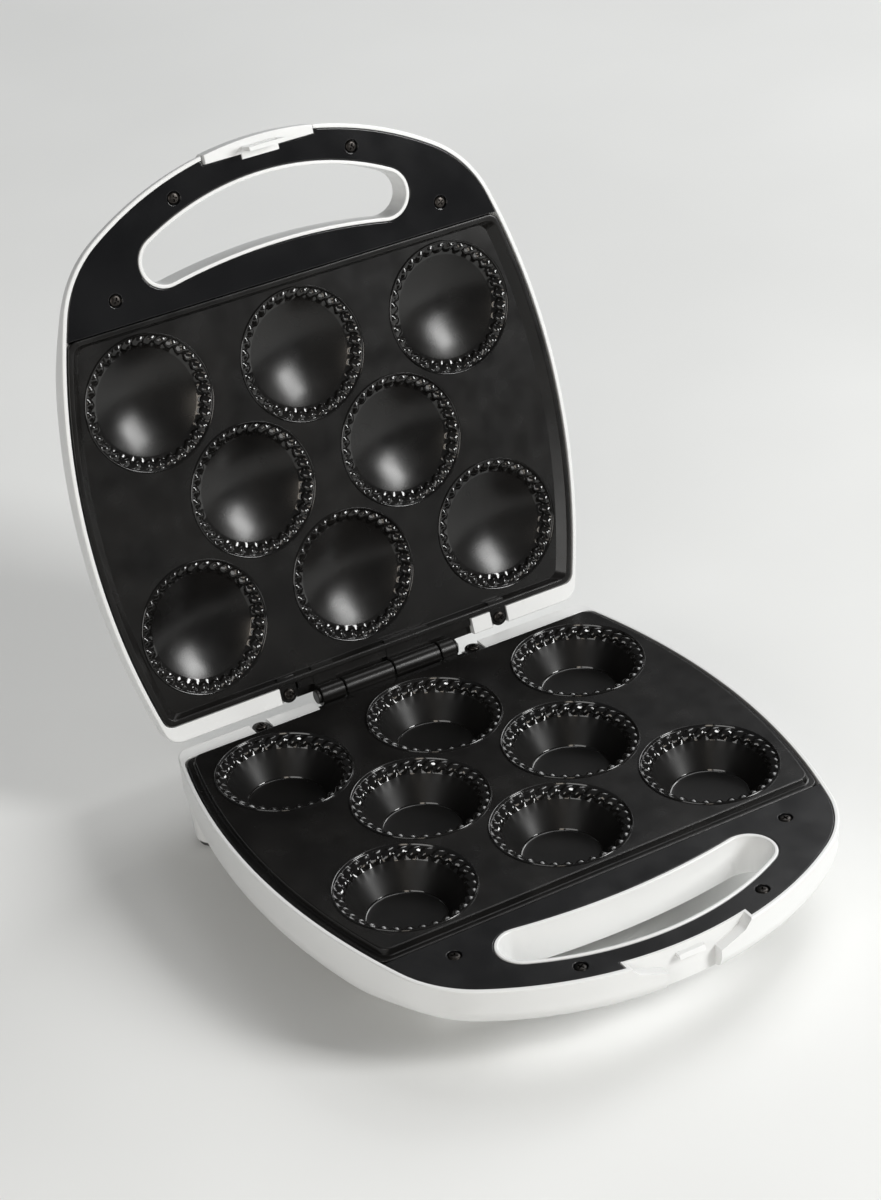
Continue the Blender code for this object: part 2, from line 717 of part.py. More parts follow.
def cup_body(half, x, y):
    """Rings of the outside of one cup or dome, from its bead to its back."""
    bead = half.field - BEAD_HEIGHT
    neck = FLUTE_MOUTH_RADIUS + CUP_WALL
    rings = [
        circle(x, y, BEAD_RADIUS, at(half, bead), FLUTES),
        circle(x, y, BEAD_RADIUS, at(half, half.field + PLATE_THICKNESS / 3), FLUTES),
        circle(x, y, neck, at(half, half.field + PLATE_THICKNESS - GAP), FLUTES // 2),
    ]
    return rings + half.cup_back(half, x, y, bead, neck)


def lower_cup_back(half, x, y, bead, neck):
    """Back ring of a conical cup."""
    depth = bead + CUP_DEPTH + CUP_WALL
    return [circle(x, y, CUP_FLOOR_RADIUS + CUP_WALL, at(half, depth), FLUTES // 2)]


def upper_cup_back(half, x, y, bead, neck):
    """Back rings of a dome."""
    back = bead + DOME_DEPTH + CUP_WALL
    start = half.field + PLATE_THICKNESS
    rings = []
    for radius_share, depth_share in DOME_BACK_SHARES:
        depth = start + (back - start) * depth_share
        rings.append(circle(x, y, neck * radius_share, at(half, depth), FLUTES // 2))
    return rings


def make_plate(half, finishes):
    """A cast plate: flange, field, cups or domes, hinge knuckles and screw tabs."""
    side, end = half.field_insets
    top = plate_outline(0.0, 0.0)
    step = plate_outline(half.step_inset, half.step_inset)
    field = plate_outline(side, end)
    back = plate_outline(PLATE_BACK_INSET, PLATE_BACK_INSET)
    hollow = PLATE_BACK_INSET + PLATE_BACK_SLOPE
    back_field = plate_outline(hollow, hollow)
    flange_back = at(half, GAP + FLANGE_THICKNESS)
    slab = [
        flat(field, at(half, half.field)),
        flat(step, at(half, GAP)),
        flat(top, at(half, GAP)),
        flat(top, flange_back),
        flat(back, flange_back),
        flat(back_field, at(half, half.field + PLATE_THICKNESS)),
    ]
    plate = place(f"{half.name}_plate", loft_mesh("plate", [slab], 35), half.parent, finishes.plate)
    added = [cup_body(half, x, y) for x, y in cup_places()]
    for left, right in half.knuckles:
        added.append([ring_about_x(x, 0.0, HINGE_Z, KNUCKLE_RADIUS) for x in (left, right)])
    cups = place(f"add_{half.name}_cups", loft_mesh("cups", added, 35), half.parent)
    boolean(plate, cups, "UNION")
    joined = []
    for left, right in half.knuckles:
        low = (left + GAP, -PLATE_BACK_FROM_HINGE - 2 * OVERRUN, at(half, 2 * GAP))
        high = (right - GAP, -OVERRUN, at(half, 2 * GAP + WEB_THICKNESS))
        joined.append(box(low, high))
    for x, y in tab_places(half):
        steps = arc((x, y), TAB_RADIUS, 0.0, math.pi, 6)
        foot = -PLATE_BACK_FROM_HINGE - 2 * OVERRUN
        outline = steps + [(x - TAB_RADIUS, foot), (x + TAB_RADIUS, foot)]
        joined.append([flat(outline, at(half, 2 * GAP)), flat(outline, at(half, FLANGE_THICKNESS))])
    arms = place(f"add_{half.name}_arms", loft_mesh("arms", joined), half.parent)
    boolean(plate, arms, "UNION")
    left, right = hinge_notch()
    low = (left + NOTCH_CLEARANCE, -PLATE_BACK_FROM_HINGE - OVERRUN, at(half, 3 * GAP))
    high = (right - NOTCH_CLEARANCE, -KNUCKLE_RADIUS - APRON_CLEARANCE, at(half, GAP + WEB_THICKNESS))
    apron = place(f"add_{half.name}_apron", loft_mesh("apron", [box(low, high)]), half.parent)
    boolean(plate, apron, "UNION")
    voids = [cup_void(half, x, y) for x, y in cup_places()]
    ends = (half.knuckles[0][0] - OVERRUN, half.knuckles[1][1] + OVERRUN)
    voids.append([ring_about_x(x, 0.0, HINGE_Z, KNUCKLE_BORE, SMALL_ROUND) for x in ends])
    for x, y in tab_places(half):
        voids.append(column(half, x, y, PILOT_RADIUS, -OVERRUN, SEAT_DEPTH + OVERRUN))
    hollows = place(f"cut_{half.name}_voids", loft_mesh("voids", voids, 35), half.parent)
    boolean(plate, hollows)
    return plate


def make_panel(half, finishes):
    """A handle panel with its opening, counterbores and screw holes."""
    outline = panel_outline(half)
    top, bottom = at(half, GAP), at(half, GAP + FLANGE_THICKNESS)
    slab = loft_mesh("panel", [[flat(outline, top), flat(outline, bottom)]], 30)
    panel = place(f"{half.name}_handle_panel", slab, half.parent, finishes.panel)
    opening = opening_outline(LINER_WALL + GAP)
    cuts = [[flat(opening, at(half, -OVERRUN)), flat(opening, at(half, SEAT_DEPTH + OVERRUN))]]
    for x, y in panel_screw_places():
        cuts.append(column(half, x, y, COUNTERBORE_RADIUS, -OVERRUN, GAP + COUNTERBORE_DEPTH))
    tool = place(f"cut_{half.name}_panel", loft_mesh("cut", cuts), half.parent)
    boolean(panel, tool)
    holes = [column(half, x, y, PILOT_RADIUS, 0.0, SEAT_DEPTH + OVERRUN) for x, y in panel_screw_places()]
    tool = place(f"cut_{half.name}_panel_holes", loft_mesh("holes", holes), half.parent)
    boolean(panel, tool)
    return panel


def screw_mesh(half):
    """A pan-head screw whose head stands on depth zero and whose shank goes in."""
    way = half.way
    loops = [
        circle(0.0, 0.0, SCREW_CROWN_RADIUS, -way * SCREW_HEAD_HEIGHT, SCREW_ROUND),
        circle(0.0, 0.0, SCREW_HEAD_RADIUS, -way * SCREW_HEAD_EDGE, SCREW_ROUND),
        circle(0.0, 0.0, SCREW_HEAD_RADIUS, 0.0, SCREW_ROUND),
        circle(0.0, 0.0, SCREW_RADIUS, 0.0, SCREW_ROUND),
        circle(0.0, 0.0, SCREW_RADIUS, way * SCREW_LENGTH, SCREW_ROUND),
    ]
    return loft_mesh("screw", [loops], 30)


def make_screws(half, finishes):
    """Four screws in the handle panel and two in the plate's tabs."""
    mesh = screw_mesh(half)
    mesh.materials.append(finishes.screw)
    seats = [(spot, COUNTERBORE_DEPTH, "panel") for spot in panel_screw_places()]
    seats += [(spot, GAP, "plate") for spot in tab_places(half)]
    counts = {"panel": 0, "plate": 0}
    for (x, y), depth, kind in seats:
        counts[kind] += 1
        screw = place(f"{half.name}_{kind}_screw_{counts[kind]}", mesh, half.parent)
        screw.location = (x, y, at(half, depth))


def make_element(half, finishes):
    """A tubular heating element that follows the plate's edge, with two bent leads."""
    loop = plate_outline(ELEMENT_SIDE_INSET, ELEMENT_END_INSET, ELEMENT_BEND)
    depth = half.field + PLATE_THICKNESS + GAP + ELEMENT_RADIUS
    y = -PLATE_BACK_FROM_HINGE - ELEMENT_END_INSET
    bend = 2 * ELEMENT_RADIUS
    lead = [
        (ELEMENT_LEAD_X, y, depth + ELEMENT_LEAD_LENGTH),
        (ELEMENT_LEAD_X, y, depth + bend),
        (ELEMENT_LEAD_X + bend / 4, y, depth + bend / 4),
        (ELEMENT_LEAD_X + bend, y, depth),
    ]
    path = lead + [(px, py, depth) for px, py in loop]
    path += [(-px, py, pd) for px, py, pd in reversed(lead)]
    rings = tube_rings([Vector((px, py, at(half, pd))) for px, py, pd in path], ELEMENT_RADIUS)
    name = f"{half.name}_heating_element"
    place(name, loft_mesh("element", [rings], 50), half.parent, finishes.element)


def make_reflector(half, finishes):
    """A sheet tray behind the cups that throws the heat back."""
    cup_back = half.field - BEAD_HEIGHT + half.cup_depth + CUP_WALL
    floor = cup_back + GAP
    rim = floor - REFLECTOR_RIM
    sheet = REFLECTOR_THICKNESS
    outer = plate_outline(REFLECTOR_SIDE_INSET, REFLECTOR_END_INSET)
    inner = plate_outline(REFLECTOR_SIDE_INSET + sheet, REFLECTOR_END_INSET + sheet)
    loops = [
        flat(outer, at(half, floor + sheet)),
        flat(outer, at(half, rim)),
        flat(inner, at(half, rim)),
        flat(inner, at(half, floor)),
    ]
    place(f"{half.name}_reflector", loft_mesh("reflector", [loops], 30), half.parent, finishes.aluminium)


def make_half(half, finishes):
    """Everything that the base and the lid have in common."""
    make_shell(half, finishes)
    make_plate(half, finishes)
    make_panel(half, finishes)
    make_screws(half, finishes)
    make_element(half, finishes)
    make_reflector(half, finishes)


def leg_places():
    """Middles of the four legs."""
    return [(s * x, -y) for x, y in (LEG_BACK, LEG_FRONT) for s in (-1, 1)]


def lower_legs(half):
    """Tapered legs, from just above the feet into the shell's shoulder."""
    top = RIM_HEIGHT - LOWER_DEPTH + LEG_OVERLAP
    return [
        [
            circle(x, y, LEG_FOOT_RADIUS, FOOT_HEIGHT + GAP, ROUND),
            circle(x, y, LEG_TOP_RADIUS, top, ROUND),
        ]
        for x, y in leg_places()
    ]


def lower_catch(half):
    """The ledge in the pocket that goes through the latch hook's window."""
    inner = -BASE_POCKET_SET - BASE_POCKET_RIM / 2
    top = nose_band(-CATCH_RAMP, inner, CATCH_HALF_WIDTH, 3)
    bottom = nose_band(0.0, inner, CATCH_HALF_WIDTH, 3)
    start, end = CATCH_TOP_DEPTH, CATCH_TOP_DEPTH + CATCH_THICKNESS
    return [[flat(top, at(half, start)), flat(bottom, at(half, end))]]


def pocket_widths(start, end, wall):
    """Half-widths of the base's pocket by depth, or those of the walls around it."""
    places = [(start, BASE_POCKET_HALF_WIDTH), (wall, BASE_POCKET_HALF_WIDTH)]
    places += [(depth + wall, wide) for depth, wide in BASE_POCKET_STEPS]
    places.append((end, BASE_POCKET_STEPS[-1][1]))
    return [(depth, wide + wall) for depth, wide in places]


def lower_kept(half, deep):
    """The walls around the base's pocket."""
    outer, inner = RIM_WIDTH + OVERRUN, -BASE_POCKET_SET - BASE_POCKET_RIM
    places = pocket_widths(-2 * OVERRUN, deep, POCKET_WALL)
    return [[flat(nose_band(outer, inner, wide), at(half, depth)) for depth, wide in places]]


def lower_pocket(half):
    """The base's pocket: ledges slope in on both sides, and the middle is open below."""
    outer, inner = RIM_WIDTH + 2 * OVERRUN, -BASE_POCKET_SET
    places = pocket_widths(-OVERRUN, half.depth + OVERRUN, 0.0)
    return [flat(nose_band(outer, inner, wide), at(half, depth)) for depth, wide in places]


def lower_cuts(half):
    """The latch pocket, vents through the floor and the hole for the cord's gland."""
    width, length = VENT_SIZE
    floor = RIM_HEIGHT - LOWER_DEPTH
    cuts = [lower_pocket(half)]
    for number in range(VENTS):
        x = (number - (VENTS - 1) / 2) * VENT_PITCH
        low = (x - width / 2, WIDEST - length / 2, floor - OVERRUN)
        high = (x + width / 2, WIDEST + length / 2, floor + SHELL_WALL + OVERRUN)
        cuts.append(box(low, high))
    ends = (-SHELL_BACK_FROM_HINGE - GLAND_GRIP - OVERRUN, OVERRUN)
    cuts.append([ring_about_y(GLAND_X, y, at(half, GLAND_DEPTH), GLAND_RADIUS + GAP) for y in ends])
    return cuts


def upper_kept(half, deep):
    """The walls around the lid's pocket, and two columns that carry the lamp board."""
    wide = LID_POCKET_HALF_WIDTH + LID_POCKET_CHEEK
    outline = nose_block(RIM_WIDTH + OVERRUN, LID_POCKET_BACK_FROM_HINGE - POCKET_WALL, wide)
    top = half.depth - SHELL_WALL - BOARD_BELOW_CEILING + GAP
    kept = [
        column(half, s * BOARD_COLUMN_X, -LAMP_FROM_HINGE, COLUMN_RADIUS, top, deep) for s in (-1, 1)
    ]
    top, bottom = SEAT_DEPTH + GAP, LID_POCKET_DEPTH + POCKET_WALL
    kept.append([flat(outline, at(half, top)), flat(outline, at(half, bottom))])
    return kept


def upper_cuts(half):
    """The lever's pocket, lens holes in the crown and pin holes beside the latch."""
    outer = RIM_WIDTH + 2 * OVERRUN
    back = nose_block(outer, LID_POCKET_BACK_FROM_HINGE, LID_POCKET_HALF_WIDTH)
    cuts = [[flat(back, at(half, -OVERRUN)), flat(back, at(half, LID_POCKET_DEPTH))]]
    for s in (-1, 1):
        hole = LENS_RADIUS + GAP
        top, bottom = half.depth - SHELL_WALL - OVERRUN, half.depth + OVERRUN
        cuts.append(column(half, s * LAMP_X, -LAMP_FROM_HINGE, hole, top, bottom))
        ends = (LID_POCKET_HALF_WIDTH - OVERRUN, LATCH_PIN_ENDS[1] + GAP)
        z = at(half, LATCH_PIN_DEPTH)
        radius = LATCH_PIN_RADIUS + GAP
        cuts.append([ring_about_x(s * x, -LATCH_PIN_FROM_HINGE, z, radius, SMALL_ROUND) for x in ends])
    return cuts


def nothing(*unused):
    """No added bodies."""
    return []


HINGE_Z = RIM_HEIGHT + HINGE_ABOVE_RIM
LOWER_NOTCH_HALF_WIDTH = BASE_POCKET_HALF_WIDTH + POCKET_WALL + GAP


def lower_half(parent):
    """Sizes and choices of the base."""
    return SimpleNamespace(
        name="lower", way=-1, rim=RIM_HEIGHT, turn=1, parent=parent,
        depth=LOWER_DEPTH, shoulder=LOWER_SHOULDER, profile=LOWER_PROFILE_SHARES, crown=(),
        handle_share=LOWER_HANDLE_SHARE, field=-LOWER_FIELD_RISE, step_inset=LOWER_STEP_INSET,
        field_insets=(LOWER_FIELD_INSET, LOWER_FIELD_INSET), knuckles=LOWER_KNUCKLES,
        cup_depth=CUP_DEPTH, cup_inside=lower_cup_inside, cup_back=lower_cup_back,
        notch_half_width=LOWER_NOTCH_HALF_WIDTH, notch=lower_notch, added_first=lower_legs,
        added_last=lower_catch, extra_cuts=lower_cuts, kept=lower_kept,
    )


def upper_half(parent):
    """Sizes and choices of the lid, laid out shut."""
    return SimpleNamespace(
        name="upper", way=1, rim=RIM_HEIGHT + SHUT_GAP, turn=-1, parent=parent,
        depth=UPPER_DEPTH, shoulder=UPPER_SHOULDER, profile=UPPER_PROFILE_SHARES,
        crown=UPPER_CROWN_SHARES, handle_share=UPPER_HANDLE_SHARE, field=UPPER_FIELD_SINK,
        step_inset=UPPER_STEP_INSET, field_insets=(UPPER_FIELD_SIDE_INSET, UPPER_FIELD_END_INSET),
        knuckles=UPPER_KNUCKLES, cup_depth=DOME_DEPTH, cup_inside=upper_cup_inside,
        cup_back=upper_cup_back, notch_half_width=LID_POCKET_HALF_WIDTH, notch=upper_notch,
        added_first=nothing, added_last=nothing, extra_cuts=upper_cuts, kept=upper_kept,
    )


def make_feet(base, finishes):
    """Rubber feet under the legs."""
    loops = [circle(0.0, 0.0, FOOT_RADIUS, z, ROUND) for z in (0.0, FOOT_HEIGHT)]
    mesh = loft_mesh("foot", [loops], 30)
    mesh.materials.append(finishes.rubber)
    for number, (x, y) in enumerate(leg_places(), 1):
        foot = place(f"rubber_foot_{number}", mesh, base)
        foot.location = (x, y, 0.0)


def make_hinge_pin(base, finishes):
    """The pin through the knuckles, headed at one end, and the clip at the other."""
    head = UPPER_KNUCKLES[0][0] - GAP
    clip = LOWER_KNUCKLES[1][1] + GAP
    stops = (
        (head - PIN_HEAD_THICKNESS, PIN_HEAD_RADIUS),
        (head, PIN_HEAD_RADIUS),
        (head, PIN_RADIUS),
        (clip + CLIP_THICKNESS + PIN_END_PAST_CLIP, PIN_RADIUS),
    )
    loops = [ring_about_x(x, 0.0, HINGE_Z, radius, SMALL_ROUND) for x, radius in stops]
    place("hinge_pin", loft_mesh("pin", [loops], 30), base, finishes.pin)
    ends = (clip, clip + CLIP_THICKNESS)
    disc = [ring_about_x(x, 0.0, HINGE_Z, CLIP_RADIUS, SMALL_ROUND) for x in ends]
    ring = place("hinge_clip", loft_mesh("clip", [disc]), base, finishes.pin)
    ends = (clip - OVERRUN, clip + CLIP_THICKNESS + OVERRUN)
    bore = [ring_about_x(x, 0.0, HINGE_Z, PIN_RADIUS + GAP, SMALL_ROUND) for x in ends]
    boolean(ring, place("cut_clip", loft_mesh("cut", [bore]), base))


def make_inner_pieces(half, finishes):
    """Thermostat, thermal fuse, terminal block and cord gland of the base."""
    back = half.field + PLATE_THICKNESS + GAP
    x, y = 0.0, -MIDDLE_ROW_FROM_HINGE
    bottom = back + THERMOSTAT_HEIGHT
    body = column(half, x, y, THERMOSTAT_RADIUS, back, bottom, ROUND)
    can = place("thermostat", loft_mesh("can", [body], 30), half.parent, finishes.ceramic)
    wide, thick, tall = BLADE_SIZE
    blades = []
    for s in (-1, 1):
        low = (s * BLADE_X - wide / 2, y - thick / 2, at(half, bottom - OVERRUN / 2))
        high = (s * BLADE_X + wide / 2, y + thick / 2, at(half, bottom + tall))
        blades.append(box(low, high))
    boolean(can, place("add_blades", loft_mesh("blades", blades), half.parent), "UNION")
    y, z = -FUSE_FROM_HINGE, at(half, back + FUSE_RADIUS)
    fuse = [ring_about_x(s * FUSE_LENGTH / 2, y, z, FUSE_RADIUS, SMALL_ROUND) for s in (-1, 1)]
    place("thermal_fuse", loft_mesh("fuse", [fuse], 30), half.parent, finishes.element)
    wide, deep, tall = BLOCK_SIZE
    floor = RIM_HEIGHT - LOWER_DEPTH + SHELL_WALL + GAP
    low = (BLOCK_X - wide / 2, -BLOCK_FROM_HINGE - deep / 2, floor)
    high = (BLOCK_X + wide / 2, -BLOCK_FROM_HINGE + deep / 2, floor + tall)
    place("terminal_block", loft_mesh("block", [box(low, high)]), half.parent, finishes.ceramic)
    outer = GAP - SHELL_BACK_FROM_HINGE
    stops = (
        (outer + GLAND_FLANGE_THICKNESS, GLAND_FLANGE), (outer, GLAND_FLANGE), (outer, GLAND_RADIUS),
        (outer - GLAND_GRIP, GLAND_RADIUS), (outer - GLAND_GRIP, GLAND_FLANGE - 2 * GAP),
        (outer - GLAND_GRIP - GLAND_FLANGE_THICKNESS, GLAND_FLANGE - 2 * GAP),
    )
    z = at(half, GLAND_DEPTH)
    loops = [ring_about_y(GLAND_X, y, z, radius, SMALL_ROUND) for y, radius in stops]
    gland = place("cord_gland", loft_mesh("gland", [loops], 30), half.parent, finishes.rubber)
    ends = (outer + GLAND_FLANGE_THICKNESS + OVERRUN, outer - GLAND_GRIP - GLAND_FLANGE_THICKNESS - OVERRUN)
    bore = [ring_about_y(GLAND_X, y, z, GLAND_BORE, SMALL_ROUND) for y in ends]
    boolean(gland, place("cut_gland", loft_mesh("cut", [bore]), half.parent))


def make_lamps(half, finishes):
    """Two lenses in the lid's crown, and the board with their neon lamps."""
    y = -LAMP_FROM_HINGE
    crown = half.depth + GAP
    board_top = half.depth - SHELL_WALL - BOARD_BELOW_CEILING
    for s, name, finish in ((-1, "power", finishes.red), (1, "ready", finishes.green)):
        x = s * LAMP_X
        stops = (
            (crown + LENS_CROWN, LENS_FLANGE / 2), (crown + LENS_CROWN / 2, LENS_FLANGE),
            (crown, LENS_FLANGE), (crown, LENS_RADIUS), (half.depth - LENS_STEM, LENS_RADIUS),
        )
        loops = [circle(x, y, radius, at(half, depth), SMALL_ROUND) for depth, radius in stops]
        place(f"{name}_lamp_lens", loft_mesh("lens", [loops], 40), half.parent, finish)
        bulb = column(half, x, y, NEON_RADIUS, board_top + GAP, board_top + GAP + NEON_LENGTH)
        place(f"{name}_neon_lamp", loft_mesh("neon", [bulb], 30), half.parent, finishes.neon)
    wide, deep, tall = BOARD_SIZE
    low = (-wide / 2, y - deep / 2, at(half, board_top - tall))
    high = (wide / 2, y + deep / 2, at(half, board_top))
    place("lamp_board", loft_mesh("board", [box(low, high)]), half.parent, finishes.board)


def make_latch(half, latch, finishes):
    """The latch lever with its windowed hook, and the two pins that it turns on."""
    wide = LATCH_HALF_WIDTH
    outer, inner = RIM_WIDTH, RIM_WIDTH - LATCH_BEVEL
    heel_start, heel_end = LATCH_HEEL_DEPTHS
    front, heel = LATCH_BACK_FROM_HINGE, LATCH_HEEL_FROM_HINGE
    loops = [
        flat(nose_block(outer, front, wide), at(half, -LATCH_LIP)),
        flat(nose_block(outer, front, wide), at(half, heel_start)),
        flat(nose_block(outer, heel, wide), at(half, heel_end)),
        flat(nose_block(outer, heel, wide), at(half, LATCH_PIN_DEPTH)),
        flat(nose_block(inner, heel, wide), at(half, LATCH_DEPTH)),
    ]
    lever = place("latch_lever", loft_mesh("lever", [loops], 35), latch, finishes.shell)
    sides = (-HOOK_OUTER_FROM_HINGE, -HOOK_INNER_FROM_HINGE)
    wide = HOOK_HALF_WIDTH
    tongue = box((-wide, sides[0], at(half, -HOOK_REACH)), (wide, sides[1], at(half, LATCH_LIP)))
    boolean(lever, place("add_hook", loft_mesh("hook", [tongue]), latch), "UNION")
    wide = HOOK_WINDOW_HALF_WIDTH
    top, bottom = (at(half, -depth) for depth in HOOK_WINDOW_DEPTHS)
    window = box((-wide, sides[0] - OVERRUN, bottom), (wide, sides[1] + OVERRUN, top))
    y, z = -LATCH_PIN_FROM_HINGE, at(half, LATCH_PIN_DEPTH)
    near, far = LATCH_PIN_ENDS
    cuts = [window]
    for s, side in ((-1, "left"), (1, "right")):
        ends = (near - GAP, far + OVERRUN)
        cuts.append([ring_about_x(s * x, y, z, LATCH_PIN_RADIUS + GAP, SMALL_ROUND) for x in ends])
        pin = [ring_about_x(s * x, y, z, LATCH_PIN_RADIUS, SMALL_ROUND) for x in (near, far)]
        place(f"latch_pin_{side}", loft_mesh("pin", [pin], 30), half.parent, finishes.pin)
    boolean(lever, place("cut_latch", loft_mesh("cut", cuts), latch))


def move_origin(item, offset):
    """Shifts an object's mesh so that its coordinates count from a parent's place."""
    item.data.transform(Matrix.Translation(-Vector(offset)))


def settle(pivot, place_of_pivot):
    """Makes every mesh and pivot under a pivot count from the pivot's own place."""
    done = set()
    for item in pivot.children:
        if item.type == "EMPTY":
            item.location = Vector(item.location) - Vector(place_of_pivot)
            continue
        if any(item.location):
            item.location = Vector(item.location) - Vector(place_of_pivot)
            continue
        if item.data.name not in done:
            move_origin(item, place_of_pivot)
            done.add(item.data.name)


def centre_on_table(root):
    """Moves the maker so that the middle of its box stands over the origin."""
    bpy.context.view_layer.update()
    graph = bpy.context.evaluated_depsgraph_get()
    low, high = Vector((math.inf,) * 3), Vector((-math.inf,) * 3)
    for item in bpy.context.scene.objects:
        if item.type != "MESH" or item.hide_render:
            continue
        seen = item.evaluated_get(graph)
        mesh = seen.to_mesh()
        for vertex in mesh.vertices:
            point = item.matrix_world @ vertex.co
            low = Vector(map(min, low, point))
            high = Vector(map(max, high, point))
        seen.to_mesh_clear()
    root.location = (-(low.x + high.x) / 2, -(low.y + high.y) / 2, -low.z)


def make_pivot(name, parent, location=(0.0, 0.0, 0.0)):
    """An empty that other objects hang from."""
    pivot = bpy.data.objects.new(name, None)
    bpy.context.scene.collection.objects.link(pivot)
    pivot.parent = parent
    pivot.location = location
    return pivot


def build():
    """The whole maker, open, with its origin on the table."""
    clear_scene()
    finishes = make_materials()
    base = make_pivot("maker", None)
    hinge = (0.0, 0.0, HINGE_Z)
    lid = make_pivot("lid_hinge", base, hinge)
    latch_place = (0.0, -LATCH_PIN_FROM_HINGE, RIM_HEIGHT + SHUT_GAP + LATCH_PIN_DEPTH)
    latch = make_pivot("latch_hinge", lid, latch_place)
    lower = lower_half(base)
    upper = upper_half(lid)
    make_half(lower, finishes)
    make_feet(base, finishes)
    make_hinge_pin(base, finishes)
    make_inner_pieces(lower, finishes)
    make_half(upper, finishes)
    make_lamps(upper, finishes)
    make_latch(upper, latch, finishes)
    settle(latch, latch_place)
    settle(lid, hinge)
    lid.rotation_euler.x = -math.radians(OPEN_ANGLE)
    centre_on_table(base)


build()
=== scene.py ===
"""Looks of the cupcake maker: fine meshes, finishes, light and camera.

Metres, +Z up. Shapes are laid out with the hinge axis over Y = 0 and the lid shut, then
placed in the frame: the base is shifted, the lid and its latch are also turned open.
A depth is measured from a shell's rim into it, down in the base and up in the lid. OUT
is a distance from the hinge axis towards the handles.
"""

import math
from types import SimpleNamespace

import bmesh
import bpy
from mathutils import Matrix, Vector
from mathutils.geometry import delaunay_2d_cdt


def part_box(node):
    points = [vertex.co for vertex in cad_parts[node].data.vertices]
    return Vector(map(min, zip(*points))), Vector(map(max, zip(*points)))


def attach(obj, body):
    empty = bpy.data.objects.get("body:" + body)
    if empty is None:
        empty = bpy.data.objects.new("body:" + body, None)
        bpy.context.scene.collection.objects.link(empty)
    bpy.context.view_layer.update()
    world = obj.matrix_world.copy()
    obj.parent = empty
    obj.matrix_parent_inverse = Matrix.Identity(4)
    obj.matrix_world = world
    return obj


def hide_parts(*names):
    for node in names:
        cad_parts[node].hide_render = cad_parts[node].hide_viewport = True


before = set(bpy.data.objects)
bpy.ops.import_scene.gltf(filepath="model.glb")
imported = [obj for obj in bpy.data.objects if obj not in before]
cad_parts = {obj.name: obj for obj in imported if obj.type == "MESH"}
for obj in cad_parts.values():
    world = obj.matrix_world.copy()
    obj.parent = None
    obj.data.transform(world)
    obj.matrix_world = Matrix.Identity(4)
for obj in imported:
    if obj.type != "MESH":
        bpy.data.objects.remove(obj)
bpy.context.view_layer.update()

# Gap between pieces that touch, the length by which a cutter passes a face, and how near
# points are welded or tied together.
GAP = 0.0003
OVERRUN = 0.0020
WELD_REACH = GAP / 100
TIE_REACH = GAP / 1000
CUT = "DIFFERENCE"
JOIN = "UNION"

# Cups and domes.
CUP_PITCH = 0.0750
BACK_ROW_OUT = 0.0461
MIDDLE_ROW_OUT = 0.0977
FRONT_ROW_OUT = 0.1486
BEAD_RADIUS = 0.0302
BEAD_HEIGHT = 0.0007
FLUTES = 32
FLUTE_STEPS = 8
FLUTE_MOUTH_RADIUS = 0.0252
FLUTE_DROP = 0.0029
CUP_DEPTH = 0.0160
CUP_FLOOR_RADIUS = 0.0169
CUP_WALL = 0.0023
DOME_DEPTH = 0.0096
CUP_MARGIN = 0.0002
BEAD_ROWS = (
    (0.0302, 0.0), (0.03016, 0.00028), (0.03001, 0.00052), (0.02976, 0.00066),
    (0.02950, 0.00058), (0.02931, 0.00034), (0.02920, 0.0), (0.02905, -0.00022),
)
BAND_START = (0.02885, 0.0003)
BAND_ROWS = 10
ROPE_HEIGHT = 0.0016
ROPE_MIDDLE_SHARE = 0.60
ROPE_FADE = 4.0
ROPE_SKEW_SHARE = 0.32
LIP_DROP = 0.0007
FLOOR_CORNER = 0.0008
WALL_SHARES = (0.0, 1 / 3, 2 / 3, 1.0)
FLOOR_SHARES = (0.9, 0.6, 0.3, 0.05)
DOME_SHARES = (1.0, 0.96, 0.9, 0.8, 0.7, 0.6, 0.5, 0.4, 0.3, 0.2, 0.1, 0.03)
DOME_BACK_SHARES = ((0.86, 0.4), (0.63, 0.76), (0.30, 1.0))

# Plan of the plates and handle panels: two side arcs, a rounded corner and a nose arc.
PLATE_BACK_OUT = 0.0090
WIDEST_OUT = 0.1000
PLATE_FRONT_OUT = 0.1841
PLATE_HALF_WIDTH = 0.1180
PLATE_BACK_HALF_WIDTH = 0.1047
PLATE_FRONT_HALF_WIDTH = 0.1063
PLATE_CORNER = 0.0050
NOSE_OUT = 0.2450
NOSE_RADIUS = 0.1530
NOSE_CORNER_RADIUS = 0.0500

# Plates: a flange that sits in the shell's rim and a field that is raised or sunk.
PLATE_SIDE_GAP = 0.0006
FLANGE_THICKNESS = 0.0028
PLATE_THICKNESS = 0.0032
LOWER_FIELD_RISE = 0.0026
UPPER_FIELD_SINK = 0.0037
LOWER_STEP_INSET = 0.0025
LOWER_FIELD_INSET = 0.0033
UPPER_STEP_INSET = 0.0022
UPPER_FIELD_SIDE_INSET = 0.0060
UPPER_FIELD_END_INSET = 0.0040
PLATE_BACK_INSET = 0.0026
PLATE_BACK_SLOPE = 0.0014
PLATE_EDGE = 0.0005

